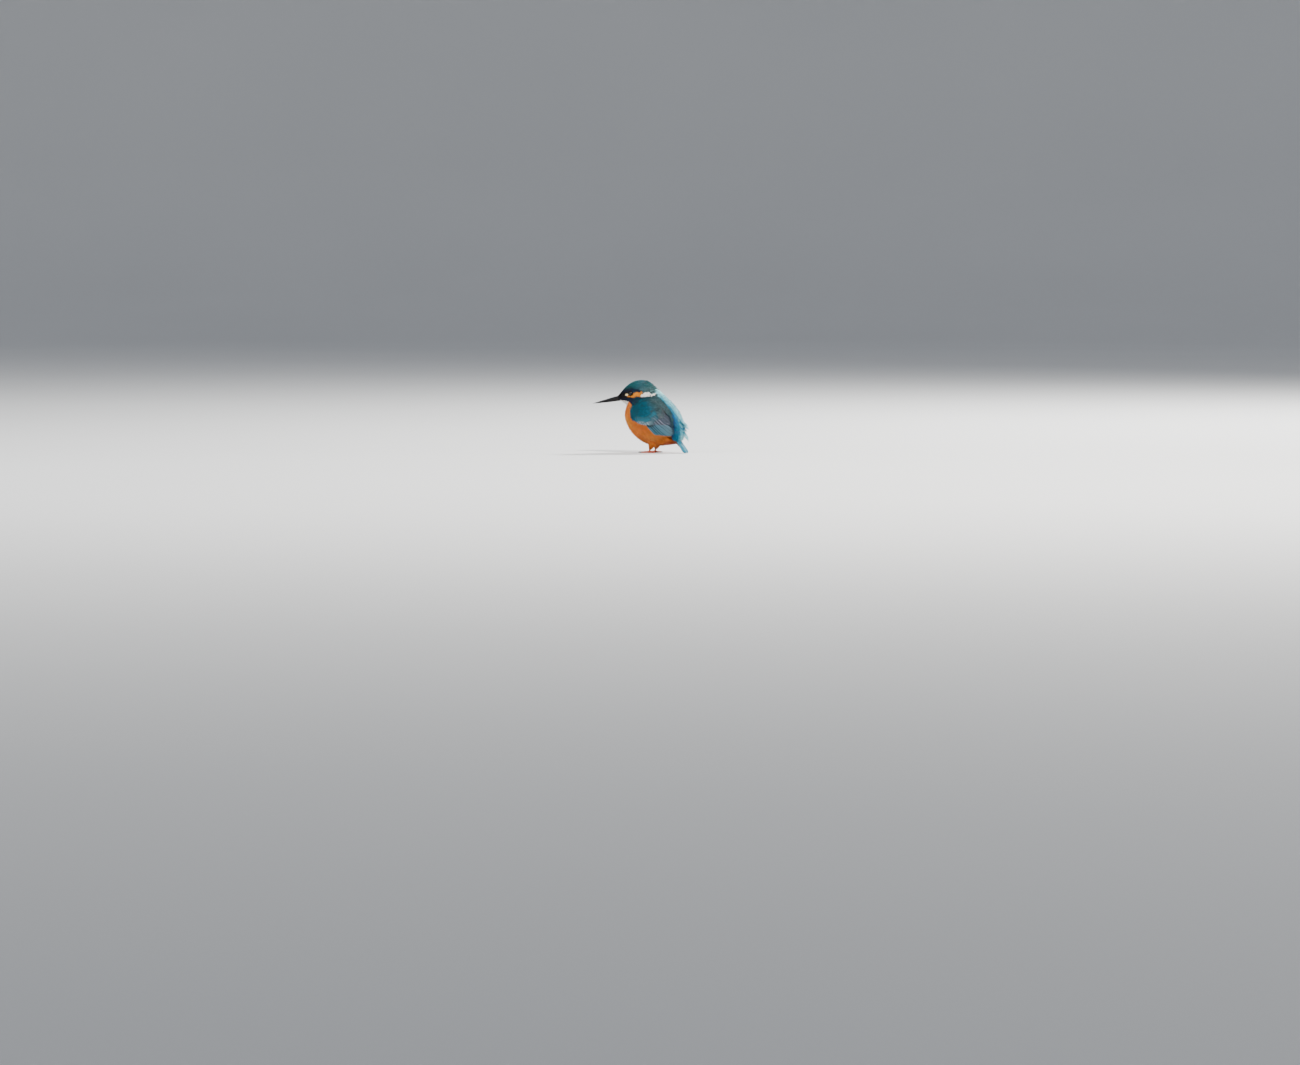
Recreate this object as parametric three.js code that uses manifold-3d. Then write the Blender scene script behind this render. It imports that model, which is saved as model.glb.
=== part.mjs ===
// A common kingfisher (Alcedo atthis), life size, plumage fluffed against the cold: it stands on its toes and the
// tip of its tail, wings folded, and looks to its left. Millimetres, +Z up, the body faces -X and its left is -Y.
// The origin is on the floor, under the middle of the bird's length.

import * as THREE from "three";
import { mergeVertices } from "three/addons/utils/BufferGeometryUtils.js";
import Module from "manifold-3d";

const wasm = await Module();
wasm.setup();
const { degToRad, lerp, smoothstep } = THREE.MathUtils;

// ---- driving sizes -------------------------------------------------------------------------------------------------
const GAP = 0.3; // between nodes that touch
const CUT = 0.45; // growth of a cutter, which leaves at least GAP on slanting faces
const ORIGIN_SHIFT = 8.0; // from the axis below to the middle of the bird's length
const TURN_X = -8; // upright axis that the head turns about
const HEAD_TURN = degToRad(20);
const BODY_SLOPE = degToRad(47); // the back, wings and flight feathers point this far below level
const TAIL_SLOPE = degToRad(55);

const BILL = { tip: [-73.6, 61.0], culmen: [-39.6, 71.6], gonys: [-38.2, 64.7], width: 7.0, gape: 0.36 };
const EYE = { at: [-24.2, 74.0], radius: 3.3, out: 10.9, lid: 0.55 };
const WING = { centre: [9.5, 45], hug: 0.94 }; // a folded wing follows the body's side; under 1 it bends less
const SHIELD = { centre: [-10, 3], semi: [24, 15.5], tilt: degToRad(52) }; // covert shield, in the wing's p and q
const LEG = { x: 4.0, y: 8.2, thigh: 6.6, ankle: 2.5, radius: 1.05 };
const TOE = { radius: 1.0, lengths: [10.5, 12.5, 7.5, 8.0], turns: [-16, 2, 24, 176] }; // outer, middle, inner, hind
const TAIL = { root: [34.6, 20.9], length: 27.2, count: 12, rootWidth: 9.0, tipWidth: 16.5 };
const VANE = 0.6; // thickness of a vane

// Sections of the body from the bill's root to the tail's root. Each gives its end on the throat or belly and its end
// on the crown or back as [x, z], its half width, and how much of the head's turn it takes.
const SECTIONS = [
  [-37.8, 65.3, -39.0, 71.2, 3.6, 1],
  [-36.8, 64.3, -38.6, 74.4, 5.8, 1],
  [-35.2, 63.0, -35.4, 78.2, 8.4, 1],
  [-33.6, 61.9, -30.6, 83.3, 10.8, 1],
  [-32.3, 60.8, -23.4, 88.2, 12.6, 1],
  [-31.6, 59.6, -15.2, 90.6, 13.7, 1],
  [-31.4, 58.2, -6.6, 90.2, 14.5, 0.97],
  [-31.6, 56.4, 1.4, 86.0, 15.4, 0.9],
  [-32.2, 54.2, 8.4, 79.6, 16.6, 0.75],
  [-33.0, 51.6, 15.2, 73.6, 18.0, 0.52],
  [-33.6, 48.4, 21.8, 68.0, 19.6, 0.28],
  [-33.7, 44.6, 28.4, 62.3, 21.0, 0.1],
  [-32.8, 40.0, 34.4, 55.8, 21.9, 0],
  [-30.6, 34.4, 39.2, 48.6, 22.3, 0],
  [-27.0, 28.4, 42.2, 41.2, 22.0, 0],
  [-21.6, 22.2, 42.8, 34.4, 20.9, 0],
  [-14.4, 16.4, 41.8, 29.4, 18.8, 0],
  [-5.6, 11.8, 40.0, 26.2, 15.8, 0],
  [4.6, 9.4, 38.2, 24.2, 12.6, 0],
  [14.6, 10.0, 37.0, 22.8, 9.8, 0],
  [22.0, 12.2, 36.2, 21.8, 7.6, 0],
  [26.4, 14.4, 35.8, 21.3, 6.2, 0],
];
const RINGS_PER_SECTION = 2;
const SIDES = 24;
const SECTION_POWER = 0.94; // under 1 makes a section squarer than an ellipse

// Cuts that part the body: a point [x, z], the slope of the cut's normal below level, and its share of the turn.
const NECK_CUT = { at: [-11.9, 68.5], slope: degToRad(60), turn: 0.85 };
const TORSO_CUT = { at: [-6.7, 59.5], slope: degToRad(68), turn: 0.35 };
const RUMP_CUT = { at: [28.4, 25.3], slope: BODY_SLOPE, turn: 0 };

const paint = (color, roughness) => new THREE.MeshStandardMaterial({ color, roughness, metalness: 0 });
const CROWN = paint(0x17505c, 0.6);
const CHEEK = paint(0xe8e0d4, 0.8);
const BREAST = paint(0xc9732a, 0.8);
const AZURE = paint(0x2bb7d6, 0.5);
const TEAL = paint(0x1f6670, 0.55);
const TAIL_BLUE = paint(0x1c7fc0, 0.5);
const HORN = paint(0x14141a, 0.35);
const CORAL = paint(0xb4452c, 0.5);
const EYE_BROWN = paint(0x120c0a, 0.05);

// ---- solids --------------------------------------------------------------------------------------------------------
const vector = (x, y, z) => new THREE.Vector3(x, y, z);

function solidOf(geometry) {
  for (const name of ["normal", "uv"]) geometry.deleteAttribute(name);
  const merged = mergeVertices(geometry, 1e-4);
  return new wasm.Manifold(
    new wasm.Mesh({
      numProp: 3,
      vertProperties: merged.attributes.position.array,
      triVerts: new Uint32Array(merged.index.array),
    }),
  );
}

function geometryOf(solid) {
  const mesh = solid.getMesh();
  const geometry = new THREE.BufferGeometry();
  geometry.setAttribute("position", new THREE.BufferAttribute(mesh.vertProperties, 3));
  geometry.setIndex(new THREE.BufferAttribute(mesh.triVerts, 1));
  return geometry;
}

function signedVolume(points, faces) {
  const six = new THREE.Vector3();
  return faces.reduce((sum, [a, b, c]) => sum + six.crossVectors(points[a], points[b]).dot(points[c]), 0);
}

// A closed solid through rings of points, each end closed by a fan from the ring's first point.
function loft(rings) {
  const sides = rings[0].length;
  const points = rings.flat();
  const faces = [];
  const last = (rings.length - 1) * sides;
  for (let k = 1; k + 1 < sides; k++) faces.push([0, k + 1, k], [last, last + k, last + k + 1]);
  for (let r = 0; r + 1 < rings.length; r++)
    for (let k = 0; k < sides; k++) {
      const a = r * sides + k;
      const b = r * sides + ((k + 1) % sides);
      faces.push([a, b, b + sides], [a, b + sides, a + sides]);
    }
  const outward = signedVolume(points, faces) > 0;
  const geometry = new THREE.BufferGeometry().setFromPoints(points);
  geometry.setIndex(faces.flatMap(([a, b, c]) => (outward ? [a, b, c] : [a, c, b])));
  return solidOf(geometry);
}

const join = (solids) => wasm.Manifold.union(solids);
const largest = (solid) => solid.decompose().sort((a, b) => b.volume() - a.volume())[0];

function ball(radii, at, across = 14, down = 9) {
  const shape = new THREE.SphereGeometry(1, across, down).scale(radii.x, radii.y, radii.z);
  return solidOf(shape.translate(at.x, at.y, at.z));
}

// ---- the body's surface --------------------------------------------------------------------------------------------
// A row of numbers between the rows of a table, by a Catmull-Rom curve.
function rowAt(table, t) {
  const i = Math.min(Math.floor(t), table.length - 2);
  const f = t - i;
  const rows = [i - 1, i, i + 1, i + 2].map((k) => table[THREE.MathUtils.clamp(k, 0, table.length - 1)]);
  const [a, b, c, d] = rows;
  return b.map(
    (_, k) =>
      b[k] +
      0.5 * f * (c[k] - a[k] + f * (2 * a[k] - 5 * b[k] + 4 * c[k] - d[k] + f * (3 * (b[k] - c[k]) + d[k] - a[k]))),
  );
}

const turned = (point, share) => {
  const angle = HEAD_TURN * share;
  const x = point.x - TURN_X;
  return vector(
    TURN_X + x * Math.cos(angle) - point.y * Math.sin(angle),
    x * Math.sin(angle) + point.y * Math.cos(angle),
    point.z,
  );
};

// The body's surface: t counts sections, round runs from the crown or back (0) by its right side to the belly (pi).
function bodyPoint(t, round, grow = 0) {
  const [bellyX, bellyZ, backX, backZ, halfWidth, turn] = rowAt(SECTIONS, t);
  const half = vector(backX - bellyX, 0, backZ - bellyZ).multiplyScalar(0.5);
  const swell = (half.length() + grow) / half.length();
  const squared = (value) => Math.sign(value) * Math.abs(value) ** SECTION_POWER;
  const point = vector((bellyX + backX) / 2, 0, (bellyZ + backZ) / 2);
  point.addScaledVector(half, swell * squared(Math.cos(round)));
  point.y = (halfWidth + grow) * squared(Math.sin(round));
  return turned(point, turn);
}

function bodySolid(grow = 0) {
  const last = SECTIONS.length - 1;
  const rings = [];
  for (let r = 0; r <= last * RINGS_PER_SECTION; r++) {
    const ring = [];
    for (let k = 0; k < SIDES; k++) ring.push(bodyPoint(r / RINGS_PER_SECTION, (2 * Math.PI * k) / SIDES, grow));
    rings.push(ring);
  }
  if (grow) {
    const billward = turned(vector(-grow, 0, 0), 1).sub(turned(vector(0, 0, 0), 1));
    const tailward = vector(Math.cos(TAIL_SLOPE), 0, -Math.sin(TAIL_SLOPE)).multiplyScalar(grow);
    rings.unshift(rings[0].map((p) => p.clone().add(billward)));
    rings.push(rings.at(-1).map((p) => p.clone().add(tailward)));
  }
  return loft(rings);
}

// A thin cut through the body: what lies before its plane, and what lies behind it, half a gap clear on each side.
const [BEFORE, BEHIND] = [-1, 1];
function cutAt({ at, slope, turn }, solid, side) {
  const normal = turned(vector(TURN_X + Math.cos(slope), 0, -Math.sin(slope)), turn).sub(vector(TURN_X, 0, 0));
  const offset = normal.dot(turned(vector(at[0], 0, at[1]), turn));
  return solid.trimByPlane(normal.multiplyScalar(side).toArray(), side * offset + GAP / 2);
}
const above = (solid, z) => solid.trimByPlane([0, 0, 1], z);
const below = (solid, z) => solid.trimByPlane([0, 0, -1], -z);

// ---- vanes ---------------------------------------------------------------------------------------------------------
// A feather's outline: how far along it, and its share of the full width.
const FLIGHT_OUTLINE = [[0, 0.7], [0.5, 1], [0.88, 0.8], [1, 0.3]];
const COVERT_OUTLINE = [[0, 0.8], [0.75, 1], [1, 0.4]];
const PLUME_OUTLINE = [[0, 1], [0.6, 0.85], [1, 0.18]];
const TAIL_OUTLINE = [[0, 0.6], [0.85, 1], [1, 0.5]];
const SHAFT = 0.2; // height of the shaft line over the vane

// One tapered plate. line(s) gives its middle and its outward direction; roll lifts one edge over the next feather.
function vane(line, { width, outline = FLIGHT_OUTLINE, roll = 0, thick = VANE }) {
  const rings = outline.map(([s, share]) => {
    const { at, out } = line(s);
    const along = line(Math.min(s + 0.02, 1)).at.sub(line(Math.max(s - 0.02, 0)).at).normalize();
    const side = new THREE.Vector3().crossVectors(out, along).normalize();
    const half = (width * share) / 2;
    const corner = (across, up) =>
      at
        .clone()
        .addScaledVector(side, across * half)
        .addScaledVector(out, up + across * roll * half);
    return [corner(-1, thick / 2), corner(0, thick / 2 + SHAFT), corner(1, thick / 2), corner(1, -thick / 2), corner(-1, -thick / 2)];
  });
  return loft(rings);
}

// A line bent evenly from root to tip, bulging by sag along out.
function bentLine(root, tip, out, sag = 0, dip = 0) {
  return (s) => ({
    at: root
      .clone()
      .lerp(tip, s)
      .addScaledVector(out, sag * 4 * s * (1 - s) - dip * (1 - smoothstep(s, 0, 0.3))),
    out: out.clone(),
  });
}

// ---- wings ---------------------------------------------------------------------------------------------------------
// Half the body's width at a place seen from the side, its sections stretched a little so that it falls off gently.
function halfWidthAt(x, z) {
  let [low, high] = [4, SECTIONS.length - 1];
  while (high - low > 1e-3) {
    const t = (low + high) / 2;
    const [bellyX, bellyZ, backX, backZ] = rowAt(SECTIONS, t);
    if ((backX - bellyX) * (z - bellyZ) > (backZ - bellyZ) * (x - bellyX)) high = t;
    else low = t;
  }
  const [bellyX, bellyZ, backX, backZ, halfWidth] = rowAt(SECTIONS, low);
  const from = Math.hypot(x - (bellyX + backX) / 2, z - (bellyZ + backZ) / 2);
  const across = (WING.hug * 2 * from) / Math.hypot(backX - bellyX, backZ - bellyZ);
  return halfWidth * Math.max(0.24, 1 - Math.min(1, across) ** (2 / SECTION_POWER)) ** (SECTION_POWER / 2);
}

// A place on the left side: p runs tailward along the wing, q across it towards the back, lift is out from the body.
function wingPlace(p, q, lift = 0) {
  const cos = Math.cos(BODY_SLOPE);
  const sin = Math.sin(BODY_SLOPE);
  const [x, z] = [WING.centre[0] + p * cos + q * sin, WING.centre[1] - p * sin + q * cos];
  const step = 1.5;
  const y = halfWidthAt(x, z);
  const slopeX = (halfWidthAt(x + step, z) - halfWidthAt(x - step, z)) / (2 * step);
  const slopeZ = (halfWidthAt(x, z + step) - halfWidthAt(x, z - step)) / (2 * step);
  const out = vector(-slopeX, -1, -slopeZ).normalize();
  return { at: vector(x, -y, z).addScaledVector(out, lift), out };
}

function wingVane(tip, length, heading, lift, options) {
  const root = [tip[0] - length * Math.cos(heading), tip[1] - length * Math.sin(heading)];
  const line = (s) => {
    const sunk = lift - 1.2 * (1 - smoothstep(s, 0, 0.35));
    return wingPlace(lerp(root[0], tip[0], s), lerp(root[1], tip[1], s), sunk);
  };
  return vane(line, options);
}

// The covert shield: rings about its middle, from its crown over the rim to well inside the body.
function shieldSolid() {
  const rim = [[0.35, 2.5], [0.7, 2.5], [0.9, 2.2], [1, 1.2], [0.97, -3.5], [0.5, -4]];
  const cos = Math.cos(SHIELD.tilt);
  const sin = Math.sin(SHIELD.tilt);
  const sides = 24;
  const rings = rim.map(([r, lift]) => {
    const ring = [];
    for (let k = 0; k < sides; k++) {
      const angle = (2 * Math.PI * k) / sides;
      const along = r * SHIELD.semi[0] * Math.cos(angle);
      const across = r * SHIELD.semi[1] * Math.sin(angle);
      const p = SHIELD.centre[0] + along * cos - across * sin;
      const q = SHIELD.centre[1] + along * sin + across * cos;
      ring.push(wingPlace(p, q, lift).at);
    }
    return ring;
  });
  return loft(rings);
}

const FLIGHT_TIPS = [[22.5, -6.4], [31.0, 0.6], [33.4, 6.8], [26.4, 12.0], [18.6, 16.6]]; // the wing's rear outline
const FLIGHT_COUNT = 12;
const PRIMARY_COUNT = 7; // the lower ones of the flight feathers; the rest are secondaries and tertials

// Primaries and secondaries: tips along the wing's rear, each feather over the one below it.
function flightVanes() {
  const vanes = [];
  for (let i = 0; i < FLIGHT_COUNT; i++) {
    const share = i / (FLIGHT_COUNT - 1);
    const tip = rowAt(FLIGHT_TIPS, share * (FLIGHT_TIPS.length - 1));
    const width = i < PRIMARY_COUNT ? 4.6 : 5.8;
    vanes.push(wingVane(tip, tip[0] + 4, degToRad(7 * share), 1.25 + 0.08 * i, { width, roll: -0.1 }));
  }
  return vanes;
}

// How far tailward the great coverts reach, at a place across the wing.
const covertEdge = (q) => 9.5 - 16.5 * Math.max(0, (-2 - q) / 16) ** 1.6;

// A tier of coverts: tips follow covertEdge, moved headward by back.
function covertTier({ count, from, to, back, length, width, lift }) {
  const vanes = [];
  for (let i = 0; i < count; i++) {
    const q = lerp(from, to, i / (count - 1));
    const heading = degToRad(lerp(-20, 5, smoothstep(q, -18, 10)));
    vanes.push(
      wingVane([covertEdge(q) - back, q], length, heading, lift + 0.02 * i, {
        width,
        outline: COVERT_OUTLINE,
        roll: -0.1,
      }),
    );
  }
  return vanes;
}

// Scapulars: broad feathers that lap the wing's upper edge, along the blue of the back.
function scapularVanes() {
  const tips = [[-4, 19.8], [2.5, 20.6], [8.5, 20.6], [14, 18.8]];
  return tips.map((tip, i) =>
    wingVane(tip, 12, degToRad(8 - 3 * i), 2.6 + 0.05 * i, { width: 6.4, outline: COVERT_OUTLINE }),
  );
}

function wingSolid() {
  return join([
    shieldSolid(),
    ...flightVanes(),
    ...covertTier({ count: 9, from: -15.5, to: 14, back: 0, length: 11, width: 5.2, lift: 2.35 }),
    ...covertTier({ count: 7, from: -14, to: 12, back: 7.5, length: 9, width: 5.8, lift: 2.7 }),
    ...scapularVanes(),
  ]);
}

// ---- tail, rump and vent -------------------------------------------------------------------------------------------
const TAILWARD = vector(Math.cos(TAIL_SLOPE), 0, -Math.sin(TAIL_SLOPE));
const TAIL_UP = vector(Math.sin(TAIL_SLOPE), 0, Math.cos(TAIL_SLOPE));

// Twelve tail feathers, the middle pair on top and longest, from a short fleshy root.
function tailSolid() {
  const root = vector(TAIL.root[0], 0, TAIL.root[1]);
  const fleshHalf = [5.0, 3.6];
  const fleshRings = [0, 4, 8].map((along, i) => {
    const shrink = 1 - 0.3 * i;
    const middle = root.clone().addScaledVector(TAILWARD, along);
    const ring = [];
    for (let k = 0; k < 16; k++) {
      const angle = (2 * Math.PI * k) / 16;
      const point = middle.clone().addScaledVector(TAIL_UP, fleshHalf[1] * shrink * Math.sin(angle));
      point.y += fleshHalf[0] * Math.cos(angle);
      ring.push(point);
    }
    return ring;
  });
  const pieces = [loft(fleshRings)];
  const pairs = TAIL.count / 2;
  for (let i = 0; i < pairs; i++)
    for (const side of [-1, 1]) {
      const share = (i + 0.5) / pairs;
      const from = root.clone().addScaledVector(TAILWARD, 1).addScaledVector(TAIL_UP, 0.9 - 0.2 * i);
      from.y += (side * share * TAIL.rootWidth) / 2;
      const reach = TAIL.length - 2.6 * share ** 2;
      const to = root.clone().addScaledVector(TAILWARD, reach).addScaledVector(TAIL_UP, 1.3 - 0.3 * i);
      to.y += (side * share * (TAIL.tipWidth - 3.4)) / 2;
      pieces.push(vane(bentLine(from, to, TAIL_UP, 0.3), { width: 4.4, roll: side * -0.06, outline: TAIL_OUTLINE }));
    }
  return largest(above(join(pieces), 0));
}

// Upper tail coverts: two tiers of long azure plumes, ruffled off the rump and the tail.
const RUFFLED = [
  { tips: [[48.4, -5.2, 36.0], [51.6, -2.8, 32.0], [53.4, 0.8, 31.2], [52.4, 4.4, 27.6]], root: [39.0, 39.5], width: 4.2 },
  { tips: [[45.0, -5.0, 23.6], [46.6, -1.8, 22.0], [47.0, 1.8, 21.6], [45.6, 5.0, 22.6]], root: [39.6, 32.0], width: 4.4 },
  { tips: [[51.0, -2.8, 14.2], [53.0, 1.0, 12.6], [51.4, 4.6, 15.4]], root: [38.0, 27.6], width: 3.8 },
];
function rumpPlumes() {
  return RUFFLED.flatMap(({ tips, root, width }) =>
    tips.map(([x, y, z]) => {
      const tip = vector(x, y, z);
      const from = vector(root[0], y * 0.85, root[1]);
      const along = tip.clone().sub(from).normalize();
      const out = new THREE.Vector3().crossVectors(along, vector(0, 1, 0)).normalize();
      if (out.x < 0) out.negate();
      return vane(bentLine(from, tip, out, 0.8, 1.6), { width, outline: PLUME_OUTLINE });
    }),
  );
}

// Under tail coverts: a wedge of soft plumes below the tail, kept clear of it.
function ventPlumes() {
  const out = vector(-Math.sin(degToRad(40)), 0, -Math.cos(degToRad(40)));
  const tips = [[40.4, -3.4, 6.4], [41.8, 0, 5.2], [40.4, 3.4, 6.4], [39.6, -1.8, 8.4], [39.6, 1.8, 8.4]];
  return tips.map(([x, y, z], i) => {
    const from = i < 3 ? vector(21.5, y * 0.9, 14.2) : vector(24.5, y * 0.9, 16.2);
    return vane(bentLine(from, vector(x, y, z), out, 0.6), { width: 4.6, outline: PLUME_OUTLINE, thick: 1.5 });
  });
}

// ---- bill ----------------------------------------------------------------------------------------------------------
// The dagger bill, cut along the gape line into its two halves; both are placed in the head's own frame.
function billHalves() {
  const rings = [];
  const steps = 7;
  for (let i = 0; i <= steps; i++) {
    const s = i / steps;
    const taper = 1 - 0.985 * s;
    const top = [lerp(BILL.culmen[0], BILL.tip[0], s), lerp(BILL.culmen[1], BILL.tip[1], s) + 0.9 * s * (1 - s)];
    const low = [lerp(BILL.gonys[0], BILL.tip[0], s), lerp(BILL.gonys[1], BILL.tip[1], s) - 0.9 * s * (1 - s)];
    const middle = vector((top[0] + low[0]) / 2, 0, (top[1] + low[1]) / 2);
    const half = Math.max(0.28, (top[1] - low[1]) / 2);
    const wide = Math.max(0.28, (BILL.width / 2) * taper ** 0.92);
    const ring = [];
    for (let k = 0; k < 14; k++) {
      const angle = (2 * Math.PI * k) / 14;
      const peaked = Math.sign(Math.cos(angle)) * Math.abs(Math.cos(angle)) ** 1.15;
      ring.push(vector(middle.x + 0.12 * half * peaked, wide * peaked, middle.z + half * Math.sin(angle)));
    }
    rings.push(ring);
  }
  const whole = loft(rings);
  const gapeAt = vector(
    lerp(BILL.gonys[0], BILL.culmen[0], BILL.gape),
    0,
    lerp(BILL.gonys[1], BILL.culmen[1], BILL.gape),
  );
  const tip = vector(BILL.tip[0], 0, BILL.tip[1] + 0.05);
  const slope = Math.atan2(gapeAt.z - tip.z, gapeAt.x - tip.x);
  const up = vector(-Math.sin(slope), 0, Math.cos(slope));
  const half = (side) => whole.trimByPlane(up.clone().multiplyScalar(side).toArray(), side * up.dot(tip) + GAP / 2);
  const nostrils = [-1, 1].map((side) => {
    const slot = new THREE.SphereGeometry(1, 10, 8).scale(1.5, 0.5, 0.42);
    slot.applyMatrix4(new THREE.Matrix4().makeRotationY(degToRad(-14)));
    return solidOf(slot.translate(BILL.culmen[0] - 3.6, side * 2.75, BILL.culmen[1] - 2.3));
  });
  return { upper: half(1).subtract(join(nostrils)), lower: half(-1) };
}

// ---- eyes ----------------------------------------------------------------------------------------------------------
const eyeCentre = (side) => vector(EYE.at[0], side * EYE.out, EYE.at[1]);
const inHead = (solid) => {
  const placed = new THREE.Matrix4().makeTranslation(TURN_X, 0, 0);
  placed.multiply(new THREE.Matrix4().makeRotationZ(HEAD_TURN)).multiply(new THREE.Matrix4().makeTranslation(-TURN_X, 0, 0));
  return solidOf(geometryOf(solid).applyMatrix4(placed));
};

function lidSolid(side) {
  const ring = new THREE.TorusGeometry(EYE.radius * 0.86, EYE.lid, 6, 18);
  ring.applyMatrix4(new THREE.Matrix4().makeRotationX(Math.PI / 2));
  ring.applyMatrix4(new THREE.Matrix4().makeRotationZ(side * degToRad(12)));
  const at = eyeCentre(side);
  return solidOf(ring.translate(at.x, at.y + side * EYE.radius * 0.62, at.z));
}

// ---- legs ----------------------------------------------------------------------------------------------------------
function limb(from, to, radii, sides = 12) {
  const along = to.clone().sub(from).normalize();
  const across = new THREE.Vector3().crossVectors(along, vector(1, 0, 0)).normalize();
  const fore = new THREE.Vector3().crossVectors(across, along);
  const rings = radii.map((radius, i) => {
    const middle = from.clone().lerp(to, i / (radii.length - 1));
    const ring = [];
    for (let k = 0; k < sides; k++) {
      const angle = (2 * Math.PI * k) / sides;
      ring.push(
        middle
          .clone()
          .addScaledVector(across, radius * Math.cos(angle))
          .addScaledVector(fore, radius * Math.sin(angle)),
      );
    }
    return ring;
  });
  return loft(rings);
}

const footAt = (side) => vector(LEG.x - 1.6, side * (LEG.y + 0.4), 0);
const headingOf = (side, toe) => degToRad(180 + side * TOE.turns[toe]);
const toeEnd = (side, toe, reach, z) => {
  const heading = headingOf(side, toe);
  return footAt(side).add(vector(reach * Math.cos(heading), reach * Math.sin(heading), z));
};

function thighSolid(side) {
  const top = vector(LEG.x + 3.2, side * (LEG.y - 0.6), 15);
  const bottom = vector(LEG.x - 0.4, side * (LEG.y + 0.1), LEG.thigh - 1.2);
  return above(limb(top, bottom, [5.2, 4.4, 3.0, 1.6]), LEG.thigh);
}

function tarsusSolid(side) {
  const top = vector(LEG.x + 0.4, side * (LEG.y - 0.1), LEG.thigh + 1);
  const bottom = footAt(side).add(vector(-0.4, side * 0.1, LEG.ankle - 1));
  return above(below(limb(top, bottom, [1.25, 1.0, 0.95, 1.25], 10), LEG.thigh - GAP), LEG.ankle + GAP);
}

// A foot: knuckled toes from one pad, the three front ones close together, flattened where they stand.
function footSolid(side) {
  const pieces = [ball(vector(2.5, 2.1, 1.7), footAt(side).setZ(1.15), 10, 7)];
  TOE.lengths.forEach((length, toe) => {
    const knuckles = [1.15, 0.95, 1.1, 0.85, 0.98, 0.72];
    pieces.push(
      limb(footAt(side).setZ(1.1), toeEnd(side, toe, length, 0.72), knuckles.map((k) => k * TOE.radius), 7),
    );
  });
  return largest(below(above(join(pieces), 0), LEG.ankle));
}

// A claw: it leaves the toe's end, arches over and comes down just clear of the floor.
function clawSolid(side, toe) {
  const start = toeEnd(side, toe, TOE.lengths[toe] + GAP, 0.82);
  const forward = toeEnd(side, toe, 1, 0).sub(footAt(side));
  const across = vector(-forward.y, forward.x, 0);
  const radii = [0.62, 0.54, 0.36, 0.12];
  const length = 3.4;
  const rings = radii.map((radius, i) => {
    const s = i / (radii.length - 1);
    const middle = start.clone().addScaledVector(forward, length * s);
    middle.z += 1.1 * s * (1 - s) - 0.62 * s;
    const tilt = vector(0, 0, 1);
    const ring = [];
    for (let k = 0; k < 6; k++) {
      const angle = (2 * Math.PI * k) / 6;
      ring.push(
        middle
          .clone()
          .addScaledVector(across, radius * Math.cos(angle))
          .addScaledVector(tilt, radius * Math.sin(angle)),
      );
    }
    return ring;
  });
  return loft(rings);
}

// ---- the bird ------------------------------------------------------------------------------------------------------
const bird = new THREE.Group();
bird.position.x = ORIGIN_SHIFT;

function add(name, solid, material) {
  const mesh = new THREE.Mesh(geometryOf(solid), material);
  mesh.name = name;
  bird.add(mesh);
  return mesh;
}

const body = bodySolid();
const bodyCutter = bodySolid(CUT);
const eyeCutters = [-1, 1].map((side) => {
  const r = EYE.radius + GAP;
  return inHead(ball(vector(r, r, r), eyeCentre(side)));
});
const lids = [-1, 1].map((side) => inHead(lidSolid(side)));
const shoulders = cutAt(NECK_CUT, body, BEHIND);
const trunk = cutAt(TORSO_CUT, shoulders, BEHIND);
add("head", largest(join([cutAt(NECK_CUT, body, BEFORE), ...lids]).subtract(join(eyeCutters))), CROWN);
add("neck", largest(cutAt(TORSO_CUT, shoulders, BEFORE)), CHEEK);
add("torso", largest(cutAt(RUMP_CUT, trunk, BEFORE)), BREAST);

const tail = tailSolid().subtract(bodyCutter);
const rump = join([trunk, ...rumpPlumes(), ...ventPlumes()]);
add("rump", largest(cutAt(RUMP_CUT, rump, BEHIND)), AZURE);
add("tail", largest(tail), TAIL_BLUE);

const bill = billHalves();
add("bill_upper", largest(inHead(bill.upper).subtract(bodyCutter)), HORN);
add("bill_lower", largest(inHead(bill.lower).subtract(bodyCutter)), HORN);

const wing = wingSolid();
add("wing_left", largest(wing.subtract(bodyCutter)), TEAL);
add("wing_right", largest(wing.mirror([0, 1, 0]).subtract(bodyCutter)), TEAL);

for (const [word, side] of [
  ["left", -1],
  ["right", 1],
]) {
  const r = EYE.radius;
  add(`eye_${word}`, inHead(ball(vector(r, r, r), eyeCentre(side))), EYE_BROWN);
  add(`thigh_${word}`, largest(thighSolid(side).subtract(bodyCutter)), BREAST);
  add(`tarsus_${word}`, tarsusSolid(side), CORAL);
  add(`foot_${word}`, footSolid(side), CORAL);
  ["outer", "middle", "inner", "hind"].forEach((toe, i) =>
    add(`claw_${word}_${toe}`, clawSolid(side, i), HORN),
  );
}

export default bird;
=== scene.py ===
"""A common kingfisher, life size, fluffed against the cold: skin, plumage, bill, eyes and feet.

Sizes and places are millimetres from the bird's own axis unless a name says otherwise. The body faces -X, its
left is -Y and +Z is up. Every mesh is built in metres in the solid model's frame.
"""

import math

import bpy
import numpy as np
from mathutils import Euler, Matrix, Vector


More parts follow.
